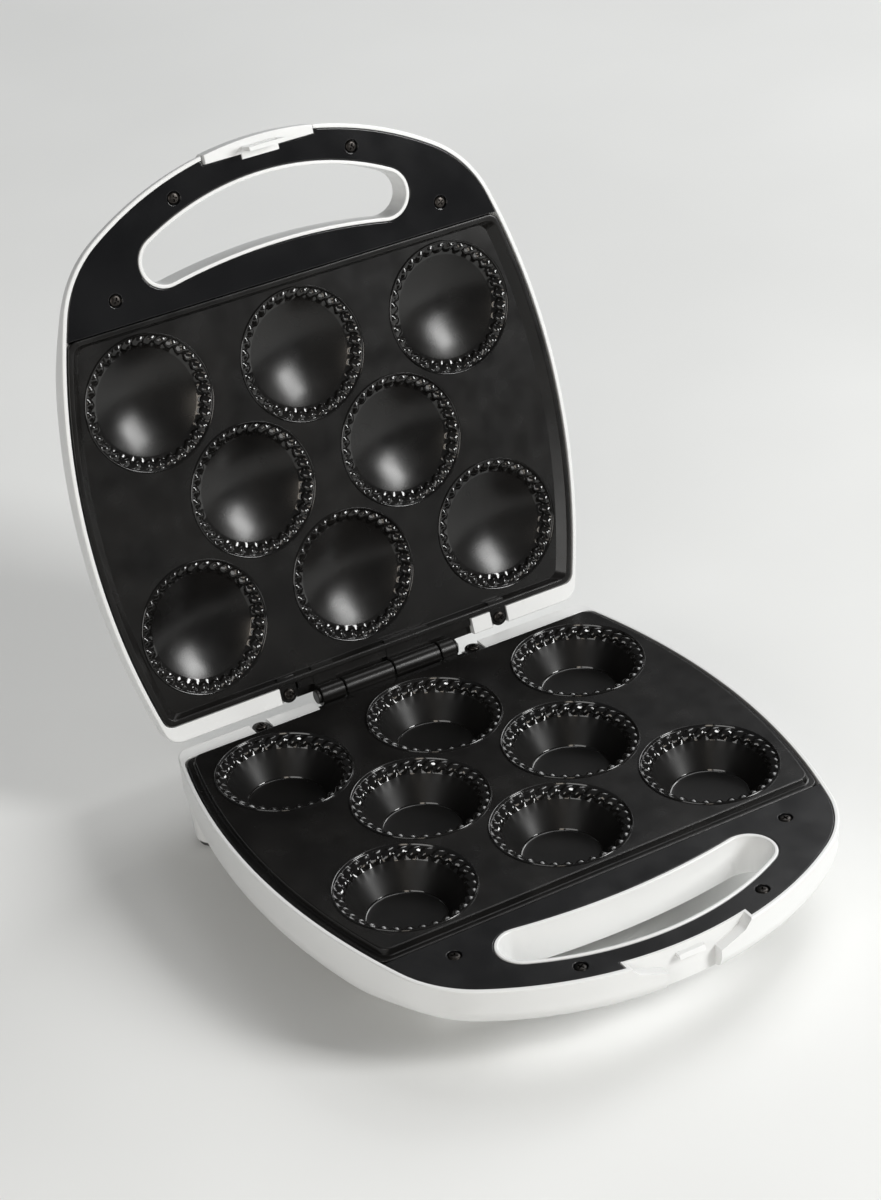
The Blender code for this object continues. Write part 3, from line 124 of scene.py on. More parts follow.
# Shells.
RIM_HEIGHT = 0.0400
SHUT_GAP = 0.0025
RIM_WIDTH = 0.0022
RIM_EDGE = 0.0007
INNER_EDGE = 0.0003
SHELL_BACK_OUT = 0.0011
SHELL_CORNER = 0.0080
SHELL_WALL = 0.0022
LOWER_DEPTH = 0.0236
LOWER_SHOULDER = 0.0090
LOWER_SHARES = (
    (0.0, 0.0, 1.0), (0.45, 0.056, 1.0), (0.68, 0.078, 1.0), (0.88, 0.25, 1.0), (0.97, 0.58, 1.0),
    (1.0, 1.0, 1.0),
)
LOWER_HANDLE_SHARE = 0.78
UPPER_DEPTH = 0.0265
UPPER_SHOULDER = 0.0110
UPPER_SHARES = (
    (0.0, 0.0, 1.0), (0.31, 0.05, 1.0), (0.49, 0.18, 1.0), (0.655, 0.5, 1.0), (0.78, 1.0, 1.0),
    (0.89, 1.0, 0.80), (0.96, 1.0, 0.62), (1.0, 1.0, 0.42),
)
UPPER_HANDLE_SHARE = 0.58
HANDLE_BLEND_OUT = 0.1650
HANDLE_BLEND_LENGTH = 0.0400
SEAT_DEPTH = 0.0034
SEAT_WIDTH = 0.0020
SEAT_THICKNESS = 0.0030
PROFILE_STEPS = 4

# Handle opening: a slot between two arcs with round ends, and the liner around it.
OPENING_END_X = 0.0545
OPENING_END_OUT = 0.2063
OPENING_END_RADIUS = 0.0102
OPENING_FAR_OUT = 0.2012
OPENING_NEAR_OUT = 0.2299
LINER_WALL = 0.0017
LINER_EDGE = 0.0005
PANEL_EDGE = 0.0004

# Hinge.
HINGE_ABOVE_RIM = 0.00045
OPEN_ANGLE = 107.3
KNUCKLE_RADIUS = 0.00465
KNUCKLE_BORE = 0.0023
KNUCKLE_EDGE = 0.0003
WEB_THICKNESS = 0.0018
# Clearance of a dark apron across the hinge notch, painted shade where the gap under the barrel is
# dark.
SHADE_APRON_CLEARANCE = 0.0009
LOWER_KNUCKLES = ((-0.0200, 0.0045), (0.0293, 0.0368))
UPPER_KNUCKLES = ((-0.0323, -0.0208), (0.0053, 0.0285))
PIN_RADIUS = 0.0020
PIN_HEAD_RADIUS = 0.0033
PIN_HEAD_THICKNESS = 0.0015
PIN_END_PAST_CLIP = 0.0012
PIN_EDGE = 0.0004
CLIP_RADIUS = 0.0040
CLIP_THICKNESS = 0.0010
NOTCH_MARGINS = (0.0030, 0.0030)
LID_NOTCH_MARGINS = (0.0068, 0.0127)
# Thickness of a dark sheet on the notch's white floor, painted shade where the floor lies in
# shadow.
NOTCH_SHADE_SHEET = 0.0003
NOTCH_CLEARANCE = 0.0009

# Screws, and the tabs that hold the plates.
SCREW_HEAD_RADIUS = 0.00265
SCREW_HEAD_HEIGHT = 0.0010
SCREW_ROWS = ((0.0011, 1.0), (0.00175, 0.94), (0.0022, 0.78), (0.0025, 0.52), (0.00265, 0.2))
SCREW_RADIUS = 0.0014
SCREW_LENGTH = 0.0068
SLOT_SIZE = (0.0031, 0.0007, 0.0008)
SCREW_TURN = 2.1
PILOT_RADIUS = 0.0018
PILOT_DEPTH = 0.0090
COLUMN_RADIUS = 0.0040
COUNTERBORE_RADIUS = 0.0031
COUNTERBORE_DEPTH = 0.0014
PANEL_SCREW_FAR = (0.08025, 0.1958)
PANEL_SCREW_NEAR = (0.0435, 0.2307)
TAB_OUT = 0.0050
TAB_RADIUS = 0.0041
TAB_SIDE_X = 0.0645
TAB_INNER_X = 0.0450

# Latch lever on the lid and the lid's pocket for it.
LATCH_HALF_WIDTH = 0.0264
LATCH_LIP = 0.0015
LATCH_BACK_OUT = 0.2409
LATCH_HEEL_OUT = 0.2393
LATCH_HEEL_DEPTHS = (0.0034, 0.0044)
LATCH_DEPTH = 0.0079
LATCH_BEVEL = 0.0012
LATCH_PIN_OUT = 0.2412
LATCH_PIN_DEPTH = 0.0055
LATCH_PIN_RADIUS = 0.0008
LATCH_PIN_ENDS = (0.0240, 0.0296)
LATCH_EDGE = 0.0004
LID_POCKET_HALF_WIDTH = 0.0273
LID_POCKET_EDGE_OUT = 0.2405
LID_POCKET_BACK_OUT = 0.2376
LID_POCKET_DEPTH = 0.0096
LID_POCKET_CHEEK = 0.0037
POCKET_WALL = 0.0012

# Hook on the lever, and the pocket and catch in the base.
HOOK_HALF_WIDTH = 0.0086
HOOK_REACH = 0.0100
HOOK_OUTER_OUT = 0.2440
HOOK_INNER_OUT = 0.2422
HOOK_FOOT_OUT = 0.2386
HOOK_FOOT_GAP = 0.0002
HOOK_WINDOW_HALF_WIDTH = 0.0067
HOOK_WINDOW_DEPTHS = (0.0054, 0.0080)
BASE_POCKET_SET = 0.0031
BASE_POCKET_RIM = 0.0009
BASE_POCKET_HALF_WIDTH = 0.0286
BASE_POCKET_STEPS = ((0.0040, 0.0253), (0.0080, 0.0127))
CATCH_HALF_WIDTH = 0.0062
CATCH_TOP_DEPTH = 0.0034
CATCH_THICKNESS = 0.0018
CATCH_RAMP = 0.0010

# Legs, feet, gland, vents and lenses.
LEG_BACK = (0.0980, 0.0165)
LEG_FRONT = (0.0870, 0.1520)
LEG_TOP_RADIUS = 0.0095
LEG_FOOT_RADIUS = 0.0080
LEG_OVERLAP = 0.0056
FOOT_RADIUS = 0.0066
FOOT_HEIGHT = 0.0024
FOOT_EDGE = 0.0007
FOOT_RECESS = (0.0040, 0.0007)
GLAND_X = 0.0800
GLAND_DEPTH = 0.0130
GLAND_RADIUS = 0.0047
GLAND_BORE = 0.0034
GLAND_FLANGE = 0.0062
GLAND_FLANGE_THICKNESS = 0.0018
GLAND_GRIP = 0.0052
VENTS = 5
VENT_PITCH = 0.0200
VENT_SIZE = (0.0030, 0.0240)
LAMP_X = 0.0090
LAMP_OUT = 0.1500
LENS_RADIUS = 0.0032
LENS_FLANGE = 0.0042
LENS_CROWN = 0.0016
LENS_STEM = 0.0020
BOARD_BELOW_CEILING = 0.0048
BOARD_COLUMN_X = 0.0160

# Steps along the outline's arcs, around round pieces and across a rounded edge.
CORNER_STEPS = 6
BACK_STEPS = 14
SIDE_STEPS = 18
NOSE_CORNER_STEPS = 18
NOSE_STEPS = 30
NOTCH_STEPS = 9
LENS_STEPS = 8
SMOOTH_ANGLE = 38
SMALL_ANGLE = 30
ROUND = 48
EDGE_STEPS = 4

# Places of the coatings in a casting's list of finishes.
PLATE_COAT, CUP_COAT, ROPE_COAT = range(3)

# Finishes: name, two colours, range of roughness, grains per metre, strength and depth of the
# relief, and other inputs of the shader. A cloud of colour and a patch of roughness are this
# many times as wide as a grain.
CLOUD_SIZE = 12
PATCH_SIZE = 5
NOISE_DETAIL = 1.0
COLOUR_SHARES = (0.35, 0.65)
ROUGHNESS_SHARES = (0.3, 0.7)
BLACK = ((0.0045, 0.0042, 0.004), (0.008, 0.0075, 0.007))
FINISHES = {
    "white": (
        "white_moulding", ((0.695, 0.70, 0.695), (0.705, 0.71, 0.705)), (0.28, 0.31), 420,
        (0.015, 0.0001), {},
    ),
    "upper_panel": (
        "glossy_black_moulding", ((0.004, 0.004, 0.0045), (0.007, 0.007, 0.0075)), (0.09, 0.13),
        400, (0.03, 0.0001), {},
    ),
    "lower_panel": (
        "satin_black_moulding", ((0.005, 0.005, 0.0055), (0.008, 0.008, 0.0085)), (0.20, 0.26),
        450, (0.06, 0.0001), {"Specular IOR Level": 0.34},
    ),
    "plate": (
        "black_coating", BLACK, (0.22, 0.28), 480, (0.06, 0.0001), {"Specular IOR Level": 0.30},
    ),
    "rope": ("polished_black_coating", BLACK, (0.08, 0.12), 480, (0.04, 0.0001), {}),
    # Painted shade: the base's cups get a darker, duller copy of the plate's coating, so their
    # walls look shaded and barely shine.
    "cup": (
        "dull_black_coating", ((0.0040, 0.0038, 0.0036), (0.007, 0.0066, 0.0062)), (0.36, 0.44),
        480, (0.06, 0.0001), {"Specular IOR Level": 0.16},
    ),
    "screw": (
        "browned_steel", ((0.014, 0.0125, 0.0115), (0.034, 0.030, 0.027)), (0.26, 0.40), 1500,
        (0.15, 0.0002), {"Metallic": 0.85},
    ),
    "steel": (
        "blackened_steel", ((0.012, 0.012, 0.012), (0.03, 0.029, 0.028)), (0.28, 0.40), 1200,
        (0.10, 0.0002), {"Metallic": 0.5},
    ),
    "rubber": (
        "grey_rubber_foot", ((0.055, 0.055, 0.055), (0.09, 0.09, 0.09)), (0.7, 0.9), 1500,
        (0.25, 0.0003), {},
    ),
    "element": (
        "heat_tinted_steel", ((0.22, 0.20, 0.18), (0.40, 0.38, 0.35)), (0.35, 0.5), 900,
        (0.2, 0.0003), {"Metallic": 0.9},
    ),
    "aluminium": (
        "brushed_aluminium", ((0.66, 0.67, 0.68), (0.80, 0.81, 0.82)), (0.25, 0.4), 1400,
        (0.2, 0.0002), {"Metallic": 1.0}, (1.0, 0.04, 1.0),
    ),
    "ceramic": (
        "steatite", ((0.72, 0.69, 0.62), (0.84, 0.81, 0.75)), (0.5, 0.7), 1000, (0.2, 0.0003), {},
    ),
    "board": (
        "phenolic_board", ((0.36, 0.24, 0.12), (0.50, 0.36, 0.19)), (0.5, 0.65), 1300,
        (0.15, 0.0002), {}, (0.1, 1.0, 1.0),
    ),
    "red": (
        "red_lamp_lens", ((0.42, 0.015, 0.010), (0.60, 0.03, 0.02)), (0.08, 0.14), 600,
        (0.03, 0.0002), {"Transmission Weight": 0.5},
    ),
    "green": (
        "green_lamp_lens", ((0.02, 0.26, 0.05), (0.05, 0.42, 0.09)), (0.08, 0.14), 600,
        (0.03, 0.0002), {"Transmission Weight": 0.5},
    ),
    "neon": (
        "neon_lamp_glass", ((0.70, 0.56, 0.44), (0.82, 0.70, 0.58)), (0.06, 0.12), 700,
        (0.03, 0.0002), {"Transmission Weight": 0.6},
    ),
}

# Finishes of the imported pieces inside.
INSIDE = {
    "element": ("lower_heating_element", "upper_heating_element", "thermal_fuse"),
    "aluminium": ("lower_reflector", "upper_reflector"),
    "ceramic": ("thermostat", "terminal_block"),
    "neon": ("power_neon_lamp", "ready_neon_lamp"),
    "board": ("lamp_board",),
}

# Lights: place, point they face, size, power and colour.
STAGE_MIDDLE = (0.0, 0.05, 0.10)
SOFTBOXES = {
    "key": ((1.16, -1.28, 1.01), (0.0, 0.12, 0.17), (0.54, 0.84), 35.0, (1.0, 1.0, 0.99)),
    "top": ((1.4, 0.9, 2.5), STAGE_MIDDLE, (1.6, 1.6), 20.0, (1.0, 1.0, 1.0)),
    "back": ((2.45, 1.35, 1.9), (0.3, 0.6, 0.0), (1.4, 1.4), 34.0, (1.0, 1.0, 1.0)),
    "fill": ((-1.0, -1.6, 0.95), STAGE_MIDDLE, (0.35, 0.9), 5.0, (1.0, 0.90, 0.78)),
    "left": ((-1.8, -1.1, 0.9), STAGE_MIDDLE, (1.2, 1.2), 17.0, (1.0, 0.99, 0.97)),
}
ROOM_COLOUR = (0.80, 0.82, 0.84, 1.0)
ROOM_STRENGTH = 0.16
FLOOR_REACH = 9.0
FLOOR_DROP = 0.0001
FLOOR_NOISES = ((3.0, 3.0), (40.0, 3.0), (300.0, 2.0))
FLOOR_COLOURS = ((0.74, 0.745, 0.735), (0.78, 0.785, 0.775))
FLOOR_ROUGHNESS = (0.80, 0.90)
FLOOR_RELIEF = (0.03, 0.0003)
FLOOR_SHINE = 0.1

# Camera, in the frame.
CAMERA_PLACE = (-0.57334, -1.02239, 0.82616)
CAMERA_TURN = (58.8381, 3.5321, -30.9038)
CAMERA_LENS = 98.246
SENSOR = 36.0
CAMERA_CLIP = 0.01


def bridge(shape, first, second):
    """Faces between two rings with equal counts."""
    count = len(first)
    for i in range(count):
        after = (i + 1) % count
        shape.faces.new((first[i], first[after], second[after], second[i]))


def cap_across(shape, ring):
    """Closes a mirrored ring with strips that run straight across it."""
    first, last = 0, len(ring) - 1
    while last - first > 1:
        corners = ring[first : first + 2] + ring[last - 1 : last + 1]
        shape.faces.new(dict.fromkeys(corners))
        first, last = first + 1, last - 1


def add_loft(shape, loops, caps=True):
    """One body through a list of rings, closed at both ends where caps are asked for."""
    rings = [[shape.verts.new(point) for point in loop] for loop in loops]
    for first, second in zip(rings, rings[1:]):
        bridge(shape, first, second)
    for ring in (rings[0], rings[-1]) if caps else ():
        heights = [vertex.co.z for vertex in ring]
        uneven = max(heights) - min(heights) > GAP
        if uneven and abs(ring[0].co.x + ring[-1].co.x) < GAP:
            cap_across(shape, ring)
        else:
            shape.faces.new(ring)


def add_object(name, data):
    """A new object in the scene."""
    item = bpy.data.objects.new(name, data)
    bpy.context.scene.collection.objects.link(item)
    return item


def written(shape, name):
    """Turns the faces outward and writes the shape to a new mesh."""
    bmesh.ops.recalc_face_normals(shape, faces=shape.faces)
    mesh = bpy.data.meshes.new(name)
    shape.to_mesh(mesh)
    shape.free()
    return mesh


def loft_mesh(name, bodies):
    """A mesh of separate closed bodies, each a list of rings."""
    shape = bmesh.new()
    for loops in bodies:
        add_loft(shape, loops)
    return written(shape, name)


def tube_mesh(name, loops):
    """A mesh through a list of rings that ends where it starts."""
    shape = bmesh.new()
    add_loft(shape, loops, caps=False)
    bmesh.ops.remove_doubles(shape, verts=shape.verts, dist=WELD_REACH)
    return written(shape, name)


def bar_stops(start, end, radius, bevel):
    """Place and radius along a round bar with bevelled ends."""
    small = radius - bevel
    return (start, small), (start + bevel, radius), (end - bevel, radius), (end, small)


def carved(mesh, steps):
    """A mesh after a list of Boolean steps, each a tool's bodies and an operation."""
    item = add_object(mesh.name, mesh)
    used = [item]
    for bodies, operation in steps:
        ready = isinstance(bodies, bpy.types.Mesh)
        used.append(add_object("tool", bodies if ready else loft_mesh("tool", bodies)))
        change = item.modifiers.new("step", "BOOLEAN")
        change.operation = operation
        change.object = used[-1]
    graph = bpy.context.evaluated_depsgraph_get()
    result = bpy.data.meshes.new_from_object(item.evaluated_get(graph))
    for thing in used:
        bpy.data.objects.remove(thing)
    return result


def circle(x, y, radius, z, count=ROUND):
    """A ring around the vertical through (x, y)."""
    step = 2 * math.pi / count
    return [
        (x + radius * math.cos(step * i), y + radius * math.sin(step * i), z)
        for i in range(count)
    ]


def bar_x(y, z, stops):
    """Rings around a line along X through (y, z), each with its place and radius."""
    return [[(x, y + u, z + v) for u, v, _ in circle(0.0, 0.0, r, 0.0)] for x, r in stops]


def bar_y(x, z, stops):
    """Rings around a line along Y through (x, z), each with its place and radius."""
    return [[(x + u, y, z + v) for u, v, _ in circle(0.0, 0.0, r, 0.0)] for y, r in stops]


def box(low, high):
    """The two rings of a box between two corners."""
    (x0, y0, z0), (x1, y1, z1) = low, high
    corners = ((x0, y0), (x1, y0), (x1, y1), (x0, y1))
    return [[(x, y, z) for x, y in corners] for z in (z0, z1)]


def arc(centre, radius, start, end, steps):
    """Points of an arc in plan, both ends included."""
    angles = [start + (end - start) * i / steps for i in range(steps + 1)]
    return [(centre[0] + radius * math.cos(a), centre[1] + radius * math.sin(a)) for a in angles]


def chord_radius(drop, run):
    """Radius of an arc that drops this far over this run from its widest point."""
    return (run * run + drop * drop) / (2 * drop)


def crossing(first, first_radius, second, second_radius):
    """The crossing of two circles that lies nearer the handle."""
    ax, ay = first
    bx, by = second
    between = math.hypot(bx - ax, by - ay)
    along = (first_radius**2 - second_radius**2 + between**2) / (2 * between)
    aside = math.sqrt(first_radius**2 - along**2)
    ux, uy = (bx - ax) / between, (by - ay) / between
    places = [
        (ay + along * uy + s * aside * ux, ax + along * ux - s * aside * uy) for s in (-1, 1)
    ]
    y, x = min(places)
    return x, y


WIDEST = -WIDEST_OUT
BACK_ARC = chord_radius(
    PLATE_HALF_WIDTH - PLATE_BACK_HALF_WIDTH, WIDEST_OUT - PLATE_BACK_OUT
)
SIDE_ARC = chord_radius(
    PLATE_HALF_WIDTH - PLATE_FRONT_HALF_WIDTH, PLATE_FRONT_OUT - WIDEST_OUT
)
BACK_CENTRE = (PLATE_HALF_WIDTH - BACK_ARC, WIDEST)
SIDE_CENTRE = (PLATE_HALF_WIDTH - SIDE_ARC, WIDEST)
NOSE_CENTRE = (0.0, NOSE_RADIUS - NOSE_OUT)
CORNER_CENTRE = crossing(
    SIDE_CENTRE, SIDE_ARC - NOSE_CORNER_RADIUS, NOSE_CENTRE, NOSE_RADIUS - NOSE_CORNER_RADIUS
)
HINGE_Z = RIM_HEIGHT + HINGE_ABOVE_RIM
LOWER_NOTCH_HALF_WIDTH = BASE_POCKET_HALF_WIDTH + POCKET_WALL + GAP


def bearing(origin, point):
    """Angle from one point of the plan to another."""
    return math.atan2(point[1] - origin[1], point[0] - origin[0])


def mirrored(half):
    """A whole outline from its right half, which may end on the middle line."""
    left = [(-x, y) for x, y in reversed(half) if x > GAP]
    return half + left


def back_and_sides(spread, back, corner):
    """Right half from the back edge round its corner to the widest point."""
    y = -back - corner
    reach = BACK_ARC + spread - corner
    x = BACK_CENTRE[0] + math.sqrt(reach**2 - (y - WIDEST) ** 2)
    tangent = bearing(BACK_CENTRE, (x, y))
    points = arc((x, y), corner, math.pi / 2, tangent, CORNER_STEPS)
    points += arc(BACK_CENTRE, BACK_ARC + spread, tangent, 0.0, BACK_STEPS)[1:]
    return points


def side_arc(spread):
    """Right half from the widest point to the nose's corner, both ends left out."""
    end = bearing(SIDE_CENTRE, CORNER_CENTRE)
    return arc(SIDE_CENTRE, SIDE_ARC + spread, 0.0, end, SIDE_STEPS)[1:-1]


def nose(spread, inner_x=0.0):
    """Right half from the end of the side arc round the corner and along the nose."""
    side_end = bearing(SIDE_CENTRE, CORNER_CENTRE)
    nose_start = bearing(NOSE_CENTRE, CORNER_CENTRE)
    radius = NOSE_RADIUS + spread
    nose_end = -math.acos(inner_x / radius)
    rounded = NOSE_CORNER_RADIUS + spread
    points = arc(CORNER_CENTRE, rounded, side_end, nose_start, NOSE_CORNER_STEPS)
    points += arc(NOSE_CENTRE, radius, nose_start, nose_end, NOSE_STEPS)[1:]
    return points


def whole_outline(spread, back, corner):
    """Whole outline with a back edge, two sides and a nose."""
    return mirrored(back_and_sides(spread, back, corner) + side_arc(spread) + nose(spread))


def shell_outline(inset):
    """Whole outline of a shell, moved inward by an inset."""
    corner = max(SHELL_CORNER - inset, SHELL_CORNER / 4)
    return whole_outline(RIM_WIDTH - inset, SHELL_BACK_OUT + inset, corner)


def seat_outline(inset):
    """Whole outline of the recess that holds the plate and the handle panel."""
    corner = PLATE_CORNER + GAP - min(inset, PLATE_CORNER / 2)
    return whole_outline(GAP - inset, PLATE_BACK_OUT - GAP + inset, corner)


def plate_outline(side_inset, end_inset, corner=PLATE_CORNER):
    """Whole outline of a plate, moved inward at its sides and at its ends."""
    spread = -PLATE_SIDE_GAP - side_inset
    half = back_and_sides(spread, PLATE_BACK_OUT + end_inset, corner)
    y = corner - PLATE_FRONT_OUT + end_inset
    reach = SIDE_ARC + spread - corner
    x = SIDE_CENTRE[0] + math.sqrt(reach**2 - (y - WIDEST) ** 2)
    tangent = bearing(SIDE_CENTRE, (x, y))
    half += arc(SIDE_CENTRE, SIDE_ARC + spread, 0.0, tangent, SIDE_STEPS)[1:]
    half += arc((x, y), corner, tangent, -math.pi / 2, CORNER_STEPS)[1:]
    return mirrored(half)


def panel_outline(half):
    """Whole outline of a handle panel, with the notch in its nose for the latch."""
    back = -PLATE_FRONT_OUT - GAP
    start = math.asin((back - WIDEST) / SIDE_ARC)
    points = arc(SIDE_CENTRE, SIDE_ARC, start, bearing(SIDE_CENTRE, CORNER_CENTRE), 2)[:-1]
    return mirrored(points + nose(0.0, half.notch_half_width) + half.notch())


def lower_notch():
    """Right half of the base panel's notch, an arc behind the pocket's rim."""
    radius = NOSE_RADIUS - BASE_POCKET_SET - BASE_POCKET_RIM - GAP
    start = -math.acos(LOWER_NOTCH_HALF_WIDTH / radius)
    return arc(NOSE_CENTRE, radius, start, -math.pi / 2, NOTCH_STEPS)


def upper_notch():
    """Right half of the lid panel's notch, straight behind the latch lever."""
    return [(x, -LID_POCKET_EDGE_OUT) for x in (LID_POCKET_HALF_WIDTH, 0.0)]


def opening_outline(spread):
    """The handle opening's outline, made wider all round by a spread."""
    ex, ey, er = OPENING_END_X, -OPENING_END_OUT, OPENING_END_RADIUS
    near_gap = ey + OPENING_NEAR_OUT
    near = (ex**2 + near_gap**2 - er**2) / (2 * (near_gap - er))
    far_gap = ey + OPENING_FAR_OUT
    far = (ex**2 + far_gap**2 - er**2) / (2 * (er + far_gap))
    near_centre = (0.0, near - OPENING_NEAR_OUT)
    far_centre = (0.0, far - OPENING_FAR_OUT)
    end = (ex, ey)
    far_angle = bearing(far_centre, end)
    near_angle = bearing(near_centre, end)
    right = arc(end, er + spread, far_angle + math.pi, near_angle, NOSE_CORNER_STEPS)
    left = [(-x, y) for x, y in reversed(right)]
    near_side = arc(near_centre, near + spread, near_angle, -math.pi - near_angle, NOSE_STEPS)
    far_side = arc(far_centre, far - spread, -math.pi - far_angle, far_angle, SIDE_STEPS)
    return right + near_side[1:-1] + left + far_side[1:-1]


def nose_arc(spread, half_width):
    """The nose's arc at a spread, from one side to the other."""
    radius = NOSE_RADIUS + spread
    end = math.asin(half_width / radius)
    return arc(NOSE_CENTRE, radius, -math.pi / 2 - end, -math.pi / 2 + end, SIDE_STEPS)


def nose_band(outer, inner, half_width):
    """A closed strip of the nose between two spreads."""
    return nose_arc(outer, half_width) + nose_arc(inner, half_width)[::-1]


def nose_block(outer, back, half_width):
    """A closed piece of the nose with a straight back."""
    return nose_arc(outer, half_width) + [(half_width, -back), (-half_width, -back)]


def flat(points, z):
    """A plan outline as a ring at one height."""
    return [(x, y, z) for x, y in points]


def shrunk(points, share):
    """An outline drawn in towards the middle of the plates."""
    return [(x * share, WIDEST + (y - WIDEST) * share) for x, y in points]


def stack(half, *rows):
    """Rings of a shell's inside or of a piece on it: plan outlines, each at a depth."""
    return [flat(points, at(half, depth)) for points, depth in rows]


def round_stack(half, x, y, rows, count=ROUND):
    """Rings around (x, y), each with its radius and depth."""
    return [circle(x, y, radius, at(half, depth), count) for radius, depth in rows]


def offset(points, distance):
    """A closed outline moved outward by a distance, mitred at its corners."""
    after = points[1:] + points[:1]
    area = sum(a[0] * b[1] - b[0] * a[1] for a, b in zip(points, after))
    way = math.copysign(1.0, area)
    moved = []
    for a, b, c in zip(points[-1:] + points[:-1], points, after):
        first = way * Vector((b[1] - a[1], a[0] - b[0])).normalized()
        second = way * Vector((c[1] - b[1], b[0] - c[0])).normalized()
        middle = (first + second).normalized()
        reach = distance / max(middle.dot(first), 1 / 2)
        moved.append((b[0] + middle.x * reach, b[1] + middle.y * reach))
    return moved


def quarter(steps):
    """Angles over a right angle, both ends included."""
    return [math.pi / 2 * k / steps for k in range(steps + 1)]


def edge(half, outline, depth, radius, out=-1):
    """Rings of a rounded edge: moved in by the radius at a depth, full a radius further."""
    rings = []
    for turn in quarter(EDGE_STEPS):
        points = offset(outline, out * radius * (1 - math.sin(turn)))
        rings.append(flat(points, at(half, depth + radius * (1 - math.cos(turn)))))
    return rings


def mouth(half, outline, depth, radius):
    """Rings of a cutter that rounds the edge of what it cuts, wide at the face."""
    start = stack(half, (offset(outline, radius), depth - OVERRUN))
    return start + edge(half, outline, depth, radius, out=1)


def cup_places():
    """Middles of the eight cups."""
    middle = [(s * CUP_PITCH / 2, -MIDDLE_ROW_OUT) for s in (-1, 1)]
    rows = (BACK_ROW_OUT, FRONT_ROW_OUT)
    return [(k * CUP_PITCH, -row) for row in rows for k in (-1, 0, 1)] + middle


def panel_screw_places():
    """Middles of a handle panel's four screws."""
    spots = (PANEL_SCREW_FAR, PANEL_SCREW_NEAR)
    return [(s * x, -y) for x, y in spots for s in (-1, 1)]


def tab_places(half):
    """Middles of a plate's two screw tabs; the lid's lie the other way round."""
    return [(half.turn * x, -TAB_OUT) for x in (-TAB_SIDE_X, TAB_INNER_X)]


def thinning(half, y):
    """Share of the shell's depth at this place: 1 over the plates, less at the handle."""
    t = (-y - HANDLE_BLEND_OUT) / HANDLE_BLEND_LENGTH
    t = min(max(t, 0.0), 1.0)
    return 1.0 - (1.0 - half.handle_share) * t * t * (3 - 2 * t)


def at(half, depth):
    """Height of a depth below the base's rim, or above the lid's."""
    return half.rim + half.way * depth


def level(half, points, depth, wall=0.0, least=0.0):
    """A ring of a shell at a nominal depth, less a wall, thinned at the handle."""
    depths = [max(depth * thinning(half, y) - wall, least) for x, y in points]
    return [(x, y, at(half, d)) for (x, y), d in zip(points, depths)]


def smoothed(rows):
    """Rows of shares with more rows between them, on a curve through all."""
    rows = [Vector(row) for row in rows]
    curve = [rows[0]]
    for i in range(len(rows) - 1):
        here, after = rows[i], rows[i + 1]
        leave = (after - rows[max(i - 1, 0)]) / 2
        reach = (rows[min(i + 2, len(rows) - 1)] - here) / 2
        for k in range(1, PROFILE_STEPS + 1):
            t = k / PROFILE_STEPS
            blend = t * t * (3 - 2 * t)
            bend = leave * (t * (1 - t) ** 2) - reach * (t * t * (1 - t))
            curve.append(here.lerp(after, blend) + bend)
    return curve


def shell_skin(half):
    """Rings of a shell's outside, from its rounded rim to its flat."""
    rings = edge(half, shell_outline(0.0), 0.0, RIM_EDGE)
    for depth_share, inset_share, width_share in smoothed(half.shares)[1:]:
        points = shrunk(shell_outline(half.shoulder * inset_share), width_share)
        rings.append(level(half, points, half.depth * depth_share))
    return rings


def shell_inside(half, least):
    """Rings of a shell's inside, below a least depth."""
    rings = []
    for depth_share, inset_share, width_share in half.shares[1:]:
        points = shrunk(shell_outline(half.shoulder * inset_share + SHELL_WALL), width_share)
        rings.append(level(half, points, half.depth * depth_share, SHELL_WALL, least))
        least += GAP
    return rings


def column(half, x, y, radius, top, bottom):
    """A round column or hole between two depths of a shell."""
    return round_stack(half, x, y, ((radius, top), (radius, bottom)))


def hinge_notch(half):
    """Both ends of the notch in a shell's rim, past the pin's head and clip."""
    left = UPPER_KNUCKLES[0][0] - PIN_HEAD_THICKNESS - half.notch_margins[0]
    right = LOWER_KNUCKLES[1][1] + CLIP_THICKNESS + half.notch_margins[1]
    return left, right


def shell_hollow(half):
    """Tool for the hollow of a shell: seat, throat and inside, less liner and columns."""
    seat, throat = seat_outline(0.0), seat_outline(SEAT_WIDTH)
    throat_depth = SEAT_DEPTH + SEAT_THICKNESS
    inside = shell_inside(half, throat_depth)
    start = [(x, y) for x, y, z in inside[0]]
    rows = (seat, SEAT_DEPTH), (throat, SEAT_DEPTH), (throat, throat_depth), (start, throat_depth)
    loops = mouth(half, seat, 0.0, INNER_EDGE) + stack(half, *rows)
    deep = half.depth + OVERRUN
    liner = opening_outline(LINER_WALL)
    top = stack(half, (offset(liner, -LINER_EDGE), -2 * OVERRUN))
    keep = [top + edge(half, liner, 0.0, LINER_EDGE) + stack(half, (liner, deep))]
    for x, y in panel_screw_places() + tab_places(half):
        keep.append(column(half, x, y, COLUMN_RADIUS, SEAT_DEPTH + GAP, deep))
    keep += half.kept(half, deep)
    return carved(loft_mesh("hollow", [loops + inside[1:]]), [(keep, CUT)])


